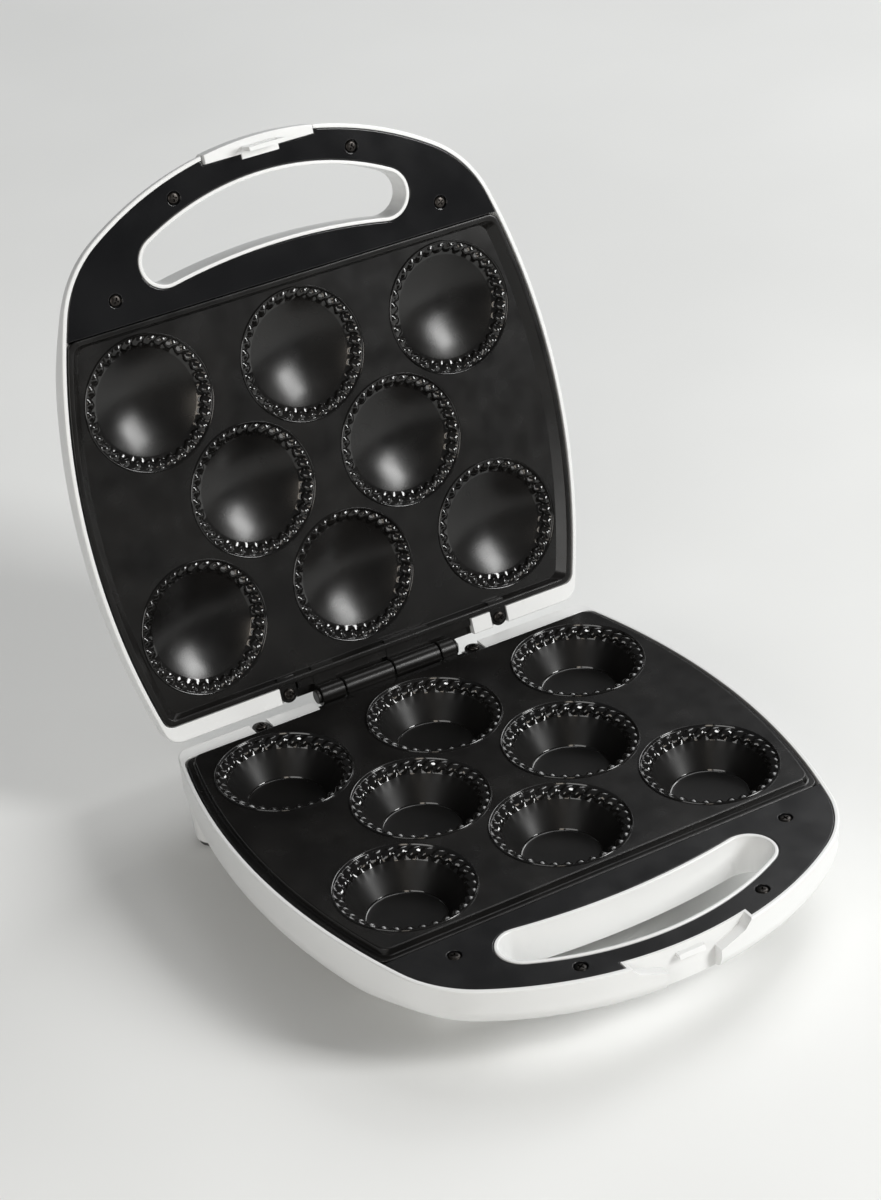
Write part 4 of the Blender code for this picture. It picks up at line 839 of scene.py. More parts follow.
def shell_mesh(half):
    """One shell: skin, hollow, latch pocket, handle opening, hinge notch, pilot holes."""
    low = at(half, -OVERRUN)
    opening = opening_outline(0.0)
    left, right = hinge_notch(half)
    barrel_depth = (HINGE_Z - half.rim) * half.way + KNUCKLE_RADIUS + NOTCH_CLEARANCE
    notch = box(
        (left, -PLATE_BACK_OUT - OVERRUN, low), (right, OVERRUN, at(half, barrel_depth))
    )
    wider = offset(opening, LINER_EDGE)
    outlet = [(x, y, z - half.way * LINER_EDGE) for x, y, z in level(half, opening, half.depth)]
    opened = mouth(half, opening, 0.0, LINER_EDGE) + [outlet, level(half, wider, half.depth)]
    cuts = [opened + stack(half, (wider, half.depth + OVERRUN)), notch]
    holes = []
    rests = []
    tab_room = TAB_RADIUS + GAP
    for x, y in tab_places(half):
        corner = (x - tab_room, -PLATE_BACK_OUT - OVERRUN, low)
        rests.append(box(corner, (x + tab_room, OVERRUN, at(half, SEAT_DEPTH - GAP / 2))))
    for x, y in tab_places(half) + panel_screw_places():
        holes.append(column(half, x, y, PILOT_RADIUS, SEAT_DEPTH - OVERRUN, PILOT_DEPTH))
    steps = [(half.legs(half), JOIN)] if half.legs else []
    steps += [(shell_hollow(half), CUT), (cuts + half.cuts(half), CUT)]
    steps += [(rests, CUT), (holes, CUT)]
    if half.catch:
        steps.append((half.catch(half), JOIN))
    return carved(loft_mesh("shell", [shell_skin(half)]), steps)


def rope_point(share, angle, sense):
    """Radius and drop on the rope-like flutes, which curve over from the bead to the mouth."""
    start_radius, start_drop = BAND_START
    over = math.pi / 2 * share
    fade = math.sin(math.pi / 2 * min(share * ROPE_FADE, 1.0))
    lobe = abs(math.sin(FLUTES * angle / 2 + sense * math.pi * ROPE_SKEW_SHARE * share))
    rise = ROPE_HEIGHT * fade * (lobe - ROPE_MIDDLE_SHARE)
    radius = start_radius - (start_radius - FLUTE_MOUTH_RADIUS + rise) * math.sin(over)
    drop = start_drop + (FLUTE_DROP - start_drop) * (1 - math.cos(over)) - rise * math.cos(over)
    return radius, drop


def cup_front(half, x, y):
    """Rings of a cup or dome seen from the front: bead, flutes, wall and floor."""
    count = FLUTES * FLUTE_STEPS
    field = half.field
    rows = [(BEAD_RADIUS + CUP_MARGIN, field)]
    rows += [(radius, field - rise) for radius, rise in BEAD_ROWS]
    rings = round_stack(half, x, y, rows, count)
    for row in range(BAND_ROWS + 1):
        ring = []
        for k in range(count):
            angle = 2 * math.pi * k / count
            radius, drop = rope_point(row / BAND_ROWS, angle, half.way)
            place = (x + radius * math.cos(angle), y + radius * math.sin(angle))
            ring.append((*place, at(half, field + drop)))
        rings.append(ring)
    rows = [(radius, field + depth) for radius, depth in half.cup_rows()]
    return rings + round_stack(half, x, y, rows, count)


def lower_cup_rows():
    """Radius and depth down a conical cup's wall and over its floor."""
    lip = (FLUTE_MOUTH_RADIUS - LIP_DROP, FLUTE_DROP + 2 * LIP_DROP)
    floor = CUP_DEPTH - BEAD_HEIGHT
    foot = (CUP_FLOOR_RADIUS + FLOOR_CORNER / 2, floor - FLOOR_CORNER)
    rows = [
        (lip[0] + (foot[0] - lip[0]) * share, lip[1] + (foot[1] - lip[1]) * share)
        for share in WALL_SHARES
    ]
    rows.append((CUP_FLOOR_RADIUS + FLOOR_CORNER / 8, floor - FLOOR_CORNER / 4))
    rows.append((CUP_FLOOR_RADIUS - FLOOR_CORNER / 2, floor))
    return rows + [(CUP_FLOOR_RADIUS * share, floor) for share in FLOOR_SHARES]


def upper_cup_rows():
    """Radius and depth over a dome, part of a sphere."""
    start = (FLUTE_MOUTH_RADIUS - LIP_DROP, FLUTE_DROP + LIP_DROP / 2)
    deepest = DOME_DEPTH - BEAD_HEIGHT
    drop = deepest - start[1]
    sphere = chord_radius(drop, start[0])
    rows = []
    for share in DOME_SHARES:
        radius = start[0] * share
        rows.append((radius, deepest - sphere + math.sqrt(sphere**2 - radius**2)))
    return rows


def cup_back(half, x, y):
    """Rings of the back of a cup or dome, from the plate's back."""
    count = FLUTES * FLUTE_STEPS
    neck = FLUTE_MOUTH_RADIUS + CUP_WALL
    back = half.field + PLATE_THICKNESS
    end = half.field - BEAD_HEIGHT + half.cup_depth + CUP_WALL
    rows = [(neck, back)]
    rows += [(neck * wide, back + (end - back) * deep) for wide, deep in half.back_shares]
    rows.append((neck * half.back_shares[-1][0] / 8, end))
    return round_stack(half, x, y, rows, count)


def add_holed_face(shape, outline, rings, z):
    """A flat face inside an outline, with round holes that start at the given rings."""
    points = [Vector(point) for point in outline]
    loops = [list(range(len(points)))]
    for ring in rings:
        loops.append(list(range(len(points), len(points) + len(ring))))
        points += [Vector(point[:2]) for point in ring]
    edges = [(a, b) for loop in loops for a, b in zip(loop, loop[1:] + loop[:1])]
    made = delaunay_2d_cdt(points, edges, [loops[0]], 1, TIE_REACH)
    vertices = [shape.verts.new((point.x, point.y, z)) for point in made[0]]
    middles = [[sum(axis) / len(ring) for axis in list(zip(*ring))[:2]] for ring in rings]
    reach = math.dist(middles[0], rings[0][0][:2]) * math.cos(math.pi / len(rings[0]))
    for face in made[2]:
        middle = sum((made[0][i] for i in face), Vector((0.0, 0.0))) / len(face)
        if all(math.dist(middle, centre) > reach for centre in middles):
            shape.faces.new([vertices[i] for i in face])


def plate_mesh(half):
    """A cast plate: flange, field and its eight cups or domes."""
    side, end = half.field_insets
    step = plate_outline(half.step_inset, half.step_inset)
    top = plate_outline(0.0, 0.0)
    field = plate_outline(side, end)
    back = plate_outline(PLATE_BACK_INSET, PLATE_BACK_INSET)
    hollow = PLATE_BACK_INSET + PLATE_BACK_SLOPE
    back_field = plate_outline(hollow, hollow)
    flange_back, back_depth = GAP + FLANGE_THICKNESS, half.field + PLATE_THICKNESS
    steps = half.step_rings(half, field, step)
    inner = offset([(x, y) for x, y, z in steps[0]], -GAP)
    loops = stack(half, (inner, half.field)) + steps
    loops += stack(half, (offset(top, -PLATE_EDGE - GAP), GAP)) + edge(half, top, GAP, PLATE_EDGE)
    loops += stack(half, (top, flange_back), (back, flange_back), (back_field, back_depth))
    shape = bmesh.new()
    add_loft(shape, loops, caps=False)
    fronts = [cup_front(half, x, y) for x, y in cup_places()]
    backs = [cup_back(half, x, y) for x, y in cup_places()]
    for rings in fronts + backs:
        add_loft(shape, rings, caps=False)
        shape.faces.new([shape.verts.new(point) for point in rings[-1]])
    add_holed_face(shape, inner, [rings[0] for rings in fronts], at(half, half.field))
    add_holed_face(shape, back_field, [rings[0] for rings in backs], at(half, back_depth))
    bmesh.ops.remove_doubles(shape, verts=shape.verts, dist=WELD_REACH)
    # Deep faces in the cups take the cup finish: in the base that is the darker, duller coat
    # painted as shade.
    for face in shape.faces:
        depth = (face.calc_center_median().z - half.rim) * half.way - half.field
        face.material_index = CUP_COAT if depth > FLUTE_DROP + LIP_DROP else PLATE_COAT
    for x, y in cup_places():
        for face in shape.faces:
            middle = face.calc_center_median()
            reach = math.hypot(middle.x - x, middle.y - y)
            outer = face.material_index == PLATE_COAT and reach < BEAD_RADIUS + CUP_MARGIN
            corner = half.legs and abs(reach - CUP_FLOOR_RADIUS) < FLOOR_CORNER
            if outer or corner:
                face.material_index = ROPE_COAT
    return written(shape, "plate")


def lower_step_rings(half, field, step):
    """The rounded edge of the raised field and the groove's foot."""
    rows = (offset(step, -PLATE_EDGE), GAP - PLATE_EDGE / 2), (step, GAP), (offset(step, GAP), GAP)
    return edge(half, field, half.field, PLATE_EDGE) + stack(half, *rows)


def upper_step_rings(half, field, step):
    """The edge of the sunk field, its slope and the edge of the border."""
    small = PLATE_EDGE / 4
    return stack(
        half, (field, half.field), (offset(field, GAP), half.field - GAP),
        (offset(step, -PLATE_EDGE), GAP + PLATE_EDGE), (offset(step, -small), GAP + small),
        (offset(step, small), GAP),
    )


def arms_mesh(half):
    """What a plate's back edge carries: knuckles on their webs and two tabs, plus a dark apron and
    a dark sheet on the notch's floor, both painted shade in the hinge's gap.
    """
    solids = []
    for left, right in half.knuckles:
        stops = bar_stops(left, right, KNUCKLE_RADIUS, KNUCKLE_EDGE)
        solids.append(bar_x(0.0, HINGE_Z, stops))
    webs = []
    foot = -PLATE_BACK_OUT - 2 * OVERRUN
    for left, right in half.knuckles:
        low = (left + GAP, foot, at(half, 2 * GAP))
        webs.append(box(low, (right - GAP, -OVERRUN, at(half, 2 * GAP + WEB_THICKNESS))))
    holes = []
    for x, y in tab_places(half):
        outline = arc((x, y), TAB_RADIUS, 0.0, math.pi, NOSE_CORNER_STEPS)
        outline += [(x - TAB_RADIUS, foot), (x + TAB_RADIUS, foot)]
        tab = edge(half, outline, 2 * GAP, KNUCKLE_EDGE)
        webs.append(tab + stack(half, (outline, FLANGE_THICKNESS)))
        holes.append(column(half, x, y, PILOT_RADIUS, -OVERRUN, SEAT_DEPTH + OVERRUN))
    left, right = hinge_notch(half)
    # Painted shade: a dark apron across the notch under the knuckles, where the hinge's gap lies
    # in shadow.
    low = (left + NOTCH_CLEARANCE, -PLATE_BACK_OUT - OVERRUN, at(half, 3 * GAP))
    front = -KNUCKLE_RADIUS - SHADE_APRON_CLEARANCE
    high = (right - NOTCH_CLEARANCE, front, at(half, GAP + WEB_THICKNESS))
    ends = (half.knuckles[0][0] - OVERRUN, half.knuckles[1][1] + OVERRUN)
    holes.append(bar_x(0.0, HINGE_Z, [(x, KNUCKLE_BORE) for x in ends]))
    # Painted shade: a thin dark sheet of casting over the notch's white floor, below the barrel.
    floor = (HINGE_Z - half.rim) * half.way + KNUCKLE_RADIUS + NOTCH_CLEARANCE
    corner = (left + GAP, -PLATE_BACK_OUT - OVERRUN, at(half, floor - NOTCH_SHADE_SHEET))
    end = (right - GAP, -SHELL_BACK_OUT - GAP, at(half, floor - GAP / 6))
    steps = [(webs, JOIN), ([box(low, high)], JOIN), ([box(corner, end)], JOIN)]
    steps.append((holes, CUT))
    return carved(loft_mesh("arms", solids), steps)


def panel_mesh(half):
    """A handle panel with its opening, counterbores and screw holes."""
    outline = panel_outline(half)
    loops = edge(half, outline, GAP, PANEL_EDGE) + stack(half, (outline, GAP + FLANGE_THICKNESS))
    opening, through = opening_outline(LINER_WALL + GAP), SEAT_DEPTH + OVERRUN
    cuts = [mouth(half, opening, GAP, PANEL_EDGE) + stack(half, (opening, through))]
    holes = []
    for x, y in panel_screw_places():
        bore = [(px, py) for px, py, z in circle(x, y, COUNTERBORE_RADIUS, 0.0)]
        cuts.append(mouth(half, bore, GAP, GAP) + stack(half, (bore, GAP + COUNTERBORE_DEPTH)))
        holes.append(column(half, x, y, PILOT_RADIUS, 0.0, through))
    return carved(loft_mesh("panel", [loops]), [(cuts, CUT), (holes, CUT)])


def screw_mesh(half):
    """A pan-head screw with a cross slot, whose head stands on height zero."""
    way = half.way
    rows = [(radius, -way * SCREW_HEAD_HEIGHT * share) for radius, share in SCREW_ROWS]
    rows += [(SCREW_HEAD_RADIUS, 0.0), (SCREW_RADIUS, 0.0), (SCREW_RADIUS, way * SCREW_LENGTH)]
    loops = [circle(0.0, 0.0, radius, z) for radius, z in rows]
    long, wide, deep = SLOT_SIZE
    top, bottom = -way * (SCREW_HEAD_HEIGHT + OVERRUN), way * (deep - SCREW_HEAD_HEIGHT)
    first = box((-long / 2, -wide / 2, top), (long / 2, wide / 2, bottom))
    second = box((-wide / 2, -long / 2, top), (wide / 2, long / 2, bottom))
    return carved(loft_mesh("screw", [loops]), [([first], CUT), ([second], CUT)])


def lower_legs(half):
    """Tapered legs with a rounded foot, from above the feet into the shell's shoulder."""
    top = RIM_HEIGHT - LOWER_DEPTH + LEG_OVERLAP
    low = FOOT_HEIGHT + GAP
    return [
        [
            circle(x, y, LEG_FOOT_RADIUS - RIM_EDGE, low),
            circle(x, y, LEG_FOOT_RADIUS - RIM_EDGE / 4, low + RIM_EDGE / 4),
            circle(x, y, LEG_FOOT_RADIUS, low + RIM_EDGE),
            circle(x, y, LEG_TOP_RADIUS, top),
        ]
        for x, y in leg_places()
    ]


def leg_places():
    """Middles of the four legs."""
    return [(s * x, -y) for x, y in (LEG_BACK, LEG_FRONT) for s in (-1, 1)]


def lower_catch(half):
    """The ledge in the pocket that goes through the latch hook's window."""
    inner = -BASE_POCKET_SET - BASE_POCKET_RIM / 2
    top = nose_band(-CATCH_RAMP, inner, CATCH_HALF_WIDTH)
    bottom = nose_band(0.0, inner, CATCH_HALF_WIDTH)
    return [stack(half, (top, CATCH_TOP_DEPTH), (bottom, CATCH_TOP_DEPTH + CATCH_THICKNESS))]


def pocket_widths(start, end, wall):
    """Half-widths of the base's pocket by depth, or those of the walls around it."""
    places = [(start, BASE_POCKET_HALF_WIDTH), (wall, BASE_POCKET_HALF_WIDTH)]
    places += [(depth + wall, wide) for depth, wide in BASE_POCKET_STEPS]
    places.append((end, BASE_POCKET_STEPS[-1][1]))
    return [(depth, wide + wall) for depth, wide in places]


def lower_kept(half, deep):
    """The walls around the base's pocket."""
    outer, inner = RIM_WIDTH + OVERRUN, -BASE_POCKET_SET - BASE_POCKET_RIM
    places = pocket_widths(-2 * OVERRUN, deep, POCKET_WALL)
    return [stack(half, *((nose_band(outer, inner, wide), depth) for depth, wide in places))]


def lower_cuts(half):
    """The latch pocket, vents through the floor and the hole for the cord's gland."""
    outer, inner = RIM_WIDTH + 2 * OVERRUN, -BASE_POCKET_SET
    places = pocket_widths(-OVERRUN, half.depth + OVERRUN, 0.0)
    cuts = [stack(half, *((nose_band(outer, inner, wide), depth) for depth, wide in places))]
    width, length = VENT_SIZE
    floor = RIM_HEIGHT - LOWER_DEPTH
    for number in range(VENTS):
        x = (number - (VENTS - 1) / 2) * VENT_PITCH
        low = (x - width / 2, WIDEST - length / 2, floor - OVERRUN)
        cuts.append(box(low, (x + width / 2, WIDEST + length / 2, floor + SHELL_WALL + OVERRUN)))
    ends = (-SHELL_BACK_OUT - GLAND_GRIP - OVERRUN, OVERRUN)
    cuts.append(bar_y(GLAND_X, at(half, GLAND_DEPTH), [(y, GLAND_RADIUS + GAP) for y in ends]))
    return cuts


def upper_kept(half, deep):
    """The walls around the lid's pocket, and two columns that carry the lamp board."""
    wide = LID_POCKET_HALF_WIDTH + LID_POCKET_CHEEK
    outline = nose_block(RIM_WIDTH + OVERRUN, LID_POCKET_BACK_OUT - POCKET_WALL, wide)
    top = half.depth - SHELL_WALL - BOARD_BELOW_CEILING + GAP
    places = [(s * BOARD_COLUMN_X, -LAMP_OUT) for s in (-1, 1)]
    kept = [column(half, x, y, COLUMN_RADIUS, top, deep) for x, y in places]
    bottom = LID_POCKET_DEPTH + POCKET_WALL
    return kept + [stack(half, (outline, SEAT_DEPTH + GAP), (outline, bottom))]


def upper_cuts(half):
    """The lever's pocket and the lens holes in the crown."""
    outer = RIM_WIDTH + 2 * OVERRUN
    back = nose_block(outer, LID_POCKET_BACK_OUT, LID_POCKET_HALF_WIDTH)
    top, bottom = half.depth - SHELL_WALL - OVERRUN, half.depth + OVERRUN
    return [stack(half, (back, -OVERRUN), (back, LID_POCKET_DEPTH))] + [
        column(half, s * LAMP_X, -LAMP_OUT, LENS_RADIUS + GAP, top, bottom) for s in (-1, 1)
    ]


def lower_half():
    """Sizes and choices of the base."""
    back_shares = (((CUP_FLOOR_RADIUS + CUP_WALL) / (FLUTE_MOUTH_RADIUS + CUP_WALL), 1.0),)
    return SimpleNamespace(
        name="lower", cup_finish="cup", way=-1, rim=RIM_HEIGHT, turn=1, body="root",
        depth=LOWER_DEPTH, shoulder=LOWER_SHOULDER, shares=LOWER_SHARES,
        handle_share=LOWER_HANDLE_SHARE, field=-LOWER_FIELD_RISE, step_inset=LOWER_STEP_INSET,
        field_insets=(LOWER_FIELD_INSET, LOWER_FIELD_INSET), step_rings=lower_step_rings,
        knuckles=LOWER_KNUCKLES, cup_depth=CUP_DEPTH, cup_rows=lower_cup_rows,
        back_shares=back_shares, notch_half_width=LOWER_NOTCH_HALF_WIDTH, notch=lower_notch,
        legs=lower_legs, catch=lower_catch, cuts=lower_cuts, kept=lower_kept,
        notch_margins=NOTCH_MARGINS,
    )


def upper_half():
    """Sizes and choices of the lid, laid out shut."""
    return SimpleNamespace(
        name="upper", cup_finish="plate", way=1, rim=RIM_HEIGHT + SHUT_GAP, turn=-1, body="lid",
        depth=UPPER_DEPTH, shoulder=UPPER_SHOULDER, shares=UPPER_SHARES,
        handle_share=UPPER_HANDLE_SHARE, field=UPPER_FIELD_SINK, step_inset=UPPER_STEP_INSET,
        field_insets=(UPPER_FIELD_SIDE_INSET, UPPER_FIELD_END_INSET), step_rings=upper_step_rings,
        knuckles=UPPER_KNUCKLES, cup_depth=DOME_DEPTH, cup_rows=upper_cup_rows,
        back_shares=DOME_BACK_SHARES, notch_half_width=LID_POCKET_HALF_WIDTH,
        notch=upper_notch, legs=None, catch=None, cuts=upper_cuts, kept=upper_kept,
        notch_margins=LID_NOTCH_MARGINS,
    )


def body_places():
    """Where each body's closed layout goes in the frame."""
    low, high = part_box("hinge_pin")
    middle = (low + high) / 2
    shift = Matrix.Translation((0.0, middle.y, 0.0))
    hinge = Matrix.Translation((0.0, middle.y, middle.z))
    turn = Matrix.Rotation(-math.radians(OPEN_ANGLE), 4, "X")
    opened = hinge @ turn @ Matrix.Translation((0.0, 0.0, -HINGE_Z))
    return {"root": shift, "lid": opened, "latch": opened}


PLACES = body_places()


def show(name, mesh, body, finish, slot, *nodes, smooth_angle=SMOOTH_ANGLE, place=None):
    """Adds a finished piece: placed, shaded, riding on its body, standing for its nodes."""
    mesh.transform(PLACES[body] @ (place or Matrix.Identity(4)))
    if mesh.materials:
        mesh.materials.clear()
    mesh.materials.append(MATERIALS[finish])
    mesh.shade_smooth()
    mesh.set_sharp_from_angle(angle=math.radians(smooth_angle))
    item = add_object(name, mesh)
    shading = item.modifiers.new("even_shading", "WEIGHTED_NORMAL")
    shading.keep_sharp = True
    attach(item, body)
    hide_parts(*nodes)
    return item


def new_material(name):
    """An empty node material with its shader, and a maker of linked nodes."""
    material = bpy.data.materials.new(name)
    material.use_nodes = True
    tree = material.node_tree
    shader = tree.nodes["Principled BSDF"]
    place = tree.nodes.new("ShaderNodeTexCoord").outputs["Object"]
    return SimpleNamespace(material=material, tree=tree, shader=shader, place=place)


def add_node(made, kind, **values):
    """A new node with values on its inputs."""
    node = made.tree.nodes.new(f"ShaderNode{kind}")
    for key, value in values.items():
        node.inputs[key.replace("_", " ")].default_value = value
    return node


def noise(made, scale, detail, stretch=None):
    """A noise over the surface, as a share from 0 to 1."""
    node = add_node(made, "TexNoise", Scale=scale, Detail=detail)
    source = made.place
    if stretch:
        mapping = add_node(made, "Mapping", Scale=stretch)
        made.tree.links.new(source, mapping.inputs["Vector"])
        source = mapping.outputs["Vector"]
    made.tree.links.new(source, node.inputs["Vector"])
    return node.outputs["Fac"]


def spread_value(made, source, low, high, target):
    """Maps a share to a range of values on one of the shader's inputs."""
    first, last = ROUGHNESS_SHARES
    node = add_node(made, "MapRange", From_Min=first, From_Max=last, To_Min=low, To_Max=high)
    made.tree.links.new(source, node.inputs["Value"])
    made.tree.links.new(node.outputs["Result"], made.shader.inputs[target])


def spread_colour(made, source, first, second):
    """Mixes two colours over the surface."""
    node = add_node(made, "ValToRGB")
    stops = zip(node.color_ramp.elements, COLOUR_SHARES, (first, second))
    for element, position, colour in stops:
        element.position = position
        element.color = (*colour, 1.0)
    made.tree.links.new(source, node.inputs["Fac"])
    made.tree.links.new(node.outputs["Color"], made.shader.inputs["Base Color"])


def bump(made, source, strength, distance):
    """A fine relief in the surface's normals."""
    node = add_node(made, "Bump", Strength=strength, Distance=distance)
    made.tree.links.new(source, node.inputs["Height"])
    made.tree.links.new(node.outputs["Normal"], made.shader.inputs["Normal"])


def surface(name, colours, roughness, grain, relief, settings, stretch=None):
    """A finish with clouded colour and roughness and a fine relief of its own grain."""
    made = new_material(name)
    sizes = (CLOUD_SIZE, PATCH_SIZE, 1)
    cloud, patches, grains = (noise(made, grain / size, NOISE_DETAIL, stretch) for size in sizes)
    spread_colour(made, cloud, *colours)
    spread_value(made, patches, *roughness, "Roughness")
    bump(made, grains, *relief)
    for key, value in settings.items():
        made.shader.inputs[key].default_value = value
    return made.material


MATERIALS = {key: surface(*row) for key, row in FINISHES.items()}


def show_half(half):
    """The pieces that the base and the lid have in common."""
    name, body, coat = half.name, half.body, "black_non_stick"
    show(f"{name}_moulding", shell_mesh(half), body, "white", "white_plastic", f"{name}_shell")
    casting = show(f"{name}_casting", plate_mesh(half), body, "plate", coat, f"{name}_plate")
    # The base's cup finish is the darker, duller coat painted as shade in its cups.
    for finish in (half.cup_finish, "rope"):
        casting.data.materials.append(MATERIALS[finish])
    show(f"{name}_hinge_arms", arms_mesh(half), body, "plate", coat)
    finish, node = f"{name}_panel", f"{name}_handle_panel"
    show(f"{name}_panel", panel_mesh(half), body, finish, "black_plastic", node)
    screw = screw_mesh(half)
    seats = [(spot, COUNTERBORE_DEPTH, "panel") for spot in panel_screw_places()]
    seats += [(spot, GAP, "plate") for spot in tab_places(half)]
    counts = {"panel": 0, "plate": 0}
    for number, ((x, y), depth, kind) in enumerate(seats):
        counts[kind] += 1
        node = f"{name}_{kind}_screw_{counts[kind]}"
        turn = Matrix.Rotation(number * SCREW_TURN + half.turn, 4, "Z")
        place = Matrix.Translation((x, y, at(half, depth))) @ turn
        head = f"{node}_head", screw.copy(), body, "screw", "dark_screw", node
        show(*head, smooth_angle=SMALL_ANGLE, place=place)


def show_hinge():
    """The hinge pin and its clip."""
    head = UPPER_KNUCKLES[0][0] - GAP
    clip = LOWER_KNUCKLES[1][1] + GAP
    end = clip + CLIP_THICKNESS + PIN_END_PAST_CLIP
    stops = (
        (head - PIN_HEAD_THICKNESS, PIN_HEAD_RADIUS - 2 * PIN_EDGE),
        (head - PIN_HEAD_THICKNESS + PIN_EDGE / 3, PIN_HEAD_RADIUS - PIN_EDGE),
        (head - PIN_HEAD_THICKNESS + PIN_EDGE, PIN_HEAD_RADIUS),
        (head, PIN_HEAD_RADIUS), (head, PIN_RADIUS), (end - PIN_EDGE, PIN_RADIUS),
        (end, PIN_RADIUS - PIN_EDGE),
    )
    pin = loft_mesh("pin", [bar_x(0.0, HINGE_Z, stops)])
    show("hinge_rod", pin, "root", "steel", "black_steel", "hinge_pin")
    inner = PIN_RADIUS + GAP
    stops = (
        (clip, inner), (clip, CLIP_RADIUS - GAP), (clip + GAP, CLIP_RADIUS),
        (clip + CLIP_THICKNESS - GAP, CLIP_RADIUS), (clip + CLIP_THICKNESS, CLIP_RADIUS - GAP),
        (clip + CLIP_THICKNESS, inner), (clip, inner),
    )
    ring = tube_mesh("ring", bar_x(0.0, HINGE_Z, stops))
    show("hinge_ring", ring, "root", "steel", "black_steel", "hinge_clip")


def show_feet():
    """Rubber feet with a rounded edge and a shallow recess below."""
    recess_radius, recess = FOOT_RECESS
    stops = (
        (recess_radius - FOOT_EDGE, recess), (recess_radius, FOOT_EDGE / 4),
        (recess_radius + FOOT_EDGE / 4, 0.0), (FOOT_RADIUS - FOOT_EDGE, 0.0),
        (FOOT_RADIUS - FOOT_EDGE / 4, FOOT_EDGE / 4), (FOOT_RADIUS, FOOT_EDGE),
        (FOOT_RADIUS, FOOT_HEIGHT),
    )
    foot = loft_mesh("foot", [[circle(0.0, 0.0, radius, z) for radius, z in stops]])
    for number, (x, y) in enumerate(leg_places(), 1):
        place = Matrix.Translation((x, y, 0.0))
        piece = f"foot_{number}", foot.copy(), "root", "rubber", "grey_rubber"
        show(*piece, f"rubber_foot_{number}", smooth_angle=SMALL_ANGLE, place=place)


def show_gland(half):
    """The cord's gland, a grooved bush with rounded flanges."""
    outer = GAP - SHELL_BACK_OUT
    inner = outer - GLAND_GRIP
    end = inner - GLAND_FLANGE_THICKNESS
    top = outer + GLAND_FLANGE_THICKNESS
    flange = GLAND_FLANGE - 2 * GAP
    stops = (
        (top - GAP, GLAND_BORE), (top, GLAND_BORE + GAP), (top, GLAND_FLANGE - 2 * GAP),
        (top - GAP / 2, GLAND_FLANGE - GAP / 2), (top - 2 * GAP, GLAND_FLANGE),
        (outer, GLAND_FLANGE), (outer, GLAND_RADIUS), (inner, GLAND_RADIUS), (inner, flange),
        (end + GAP, flange), (end, flange - GAP), (end, GLAND_BORE), (top - GAP, GLAND_BORE),
    )
    bush = tube_mesh("bush", bar_y(GLAND_X, at(half, GLAND_DEPTH), stops))
    show("cord_bush", bush, "root", "rubber", "grey_rubber", "cord_gland")


def show_lenses(half):
    """Domed lenses of the two lamps."""
    crown = half.depth + GAP
    for s, name, finish in ((-1, "power", "red"), (1, "ready", "green")):
        rows = [
            (max(LENS_FLANGE * math.sin(turn), GAP), crown + LENS_CROWN * math.cos(turn))
            for turn in quarter(LENS_STEPS)
        ]
        rows += [(LENS_RADIUS, crown), (LENS_RADIUS, half.depth - LENS_STEM)]
        rings = round_stack(half, s * LAMP_X, -LAMP_OUT, rows)
        lens = loft_mesh("lens", [rings])
        show(f"{name}_lens", lens, half.body, finish, f"{finish}_lens", f"{name}_lamp_lens")


def show_latch(half):
    """The latch lever with its windowed hook, and its two pins."""
    wide = LATCH_HALF_WIDTH
    outer = RIM_WIDTH
    heel_start, heel_end = LATCH_HEEL_DEPTHS
    front = nose_block(outer, LATCH_BACK_OUT, wide)
    full = nose_block(outer, LATCH_HEEL_OUT, wide)
    small = nose_block(outer - LATCH_BEVEL, LATCH_HEEL_OUT, wide)
    rows = (front, heel_start), (full, heel_end), (full, LATCH_PIN_DEPTH), (small, LATCH_DEPTH)
    loops = edge(half, front, -LATCH_LIP, LATCH_EDGE) + stack(half, *rows)
    sides = (-HOOK_OUTER_OUT, -HOOK_INNER_OUT)
    wide = HOOK_HALF_WIDTH
    tongue = box((-wide, sides[0], at(half, -HOOK_REACH)), (wide, sides[1], at(half, LATCH_LIP)))
    wide = HOOK_WINDOW_HALF_WIDTH
    top, bottom = (at(half, -depth) for depth in HOOK_WINDOW_DEPTHS)
    cuts = [box((-wide, sides[0] - OVERRUN, bottom), (wide, sides[1] + OVERRUN, top))]
    y, z = -LATCH_PIN_OUT, at(half, LATCH_PIN_DEPTH)
    near, far = LATCH_PIN_ENDS
    for s, side in ((-1, "left"), (1, "right")):
        ends = (near - GAP, far + OVERRUN)
        cuts.append(bar_x(y, z, [(s * x, LATCH_PIN_RADIUS + GAP) for x in ends]))
        stops = bar_stops(near, far, LATCH_PIN_RADIUS, GAP / 2)
        pin = loft_mesh("pin", [bar_x(y, z, [(s * x, radius) for x, radius in stops])])
        show(f"lever_pin_{side}", pin, half.body, "steel", "black_steel", f"latch_pin_{side}")
    wide = HOOK_HALF_WIDTH + GAP
    low = (-wide, -LATCH_BACK_OUT - OVERRUN, at(half, -LATCH_LIP + GAP))
    foot = box(low, (wide, -HOOK_FOOT_OUT, at(half, -HOOK_FOOT_GAP)))
    steps = [([tongue], JOIN), ([foot], JOIN), (cuts, CUT)]
    lever = carved(loft_mesh("lever", [loops]), steps)
    show("latch_bar", lever, "latch", "white", "white_plastic", "latch_lever")


def dress_inside():
    """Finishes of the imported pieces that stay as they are."""
    for finish, nodes in INSIDE.items():
        for node in nodes:
            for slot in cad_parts[node].material_slots:
                slot.material = MATERIALS[finish]


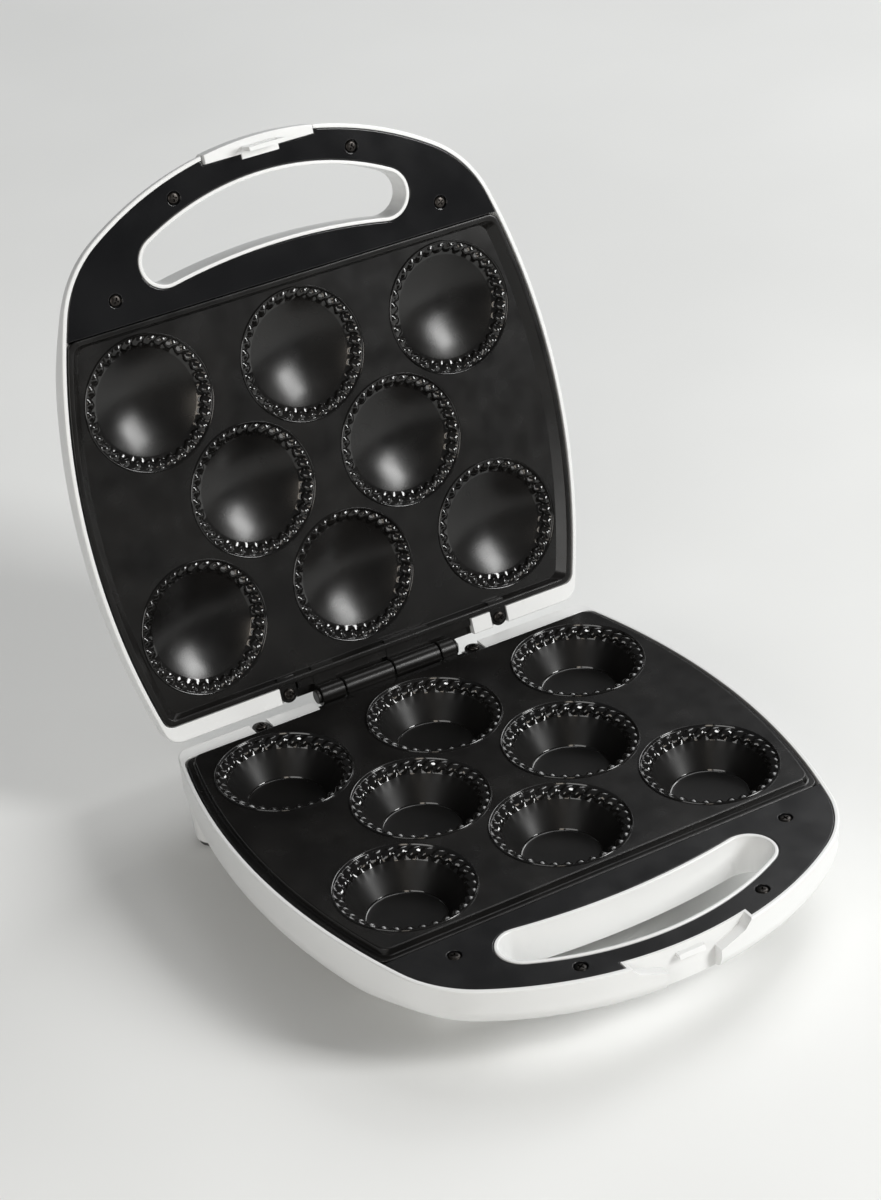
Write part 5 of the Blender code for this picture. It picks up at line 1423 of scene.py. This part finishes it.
def make_stage():
    """A pale floor that runs far behind the object."""
    shape = bmesh.new()
    corners = ((-1, -1), (1, -1), (1, 1), (-1, 1))
    places = [(FLOOR_REACH * x, FLOOR_REACH * y, -FLOOR_DROP) for x, y in corners]
    shape.faces.new([shape.verts.new(place) for place in places])
    mesh = written(shape, "floor")
    made = new_material("pale_paper")
    cloud, patches, grains = (noise(made, *values) for values in FLOOR_NOISES)
    spread_colour(made, cloud, *FLOOR_COLOURS)
    spread_value(made, patches, *FLOOR_ROUGHNESS, "Roughness")
    bump(made, grains, *FLOOR_RELIEF)
    made.shader.inputs["Specular IOR Level"].default_value = FLOOR_SHINE
    mesh.materials.append(made.material)
    add_object("floor", mesh)


def make_light():
    """A soft studio: a key box from the front right, four weaker ones and a pale room."""
    for name, (place, aim, size, power, colour) in SOFTBOXES.items():
        lamp = bpy.data.lights.new(name, "AREA")
        lamp.shape = "RECTANGLE"
        lamp.size, lamp.size_y = size
        lamp.energy = power
        lamp.color = colour
        item = add_object(name, lamp)
        item.location = place
        item.rotation_euler = (Vector(aim) - Vector(place)).to_track_quat("-Z", "Y").to_euler()
    world = bpy.data.worlds.new("room")
    world.use_nodes = True
    back = world.node_tree.nodes["Background"]
    back.inputs["Color"].default_value = ROOM_COLOUR
    back.inputs["Strength"].default_value = ROOM_STRENGTH
    bpy.context.scene.world = world


def make_camera():
    """The photograph's camera, set from the cups' places in it."""
    camera = bpy.data.cameras.new("camera")
    camera.sensor_fit = "VERTICAL"
    camera.sensor_width = camera.sensor_height = SENSOR
    camera.lens = CAMERA_LENS
    camera.clip_start = CAMERA_CLIP
    item = add_object("camera", camera)
    item.location = CAMERA_PLACE
    item.rotation_euler = [math.radians(angle) for angle in CAMERA_TURN]
    bpy.context.scene.camera = item
    bpy.context.scene.view_settings.view_transform = "Standard"


def build():
    """Every piece, the stage, the light and the camera."""
    lower, upper = lower_half(), upper_half()
    show_half(lower)
    show_half(upper)
    show_hinge()
    show_feet()
    show_gland(lower)
    show_lenses(upper)
    show_latch(upper)
    dress_inside()
    make_stage()
    make_light()
    make_camera()


build()
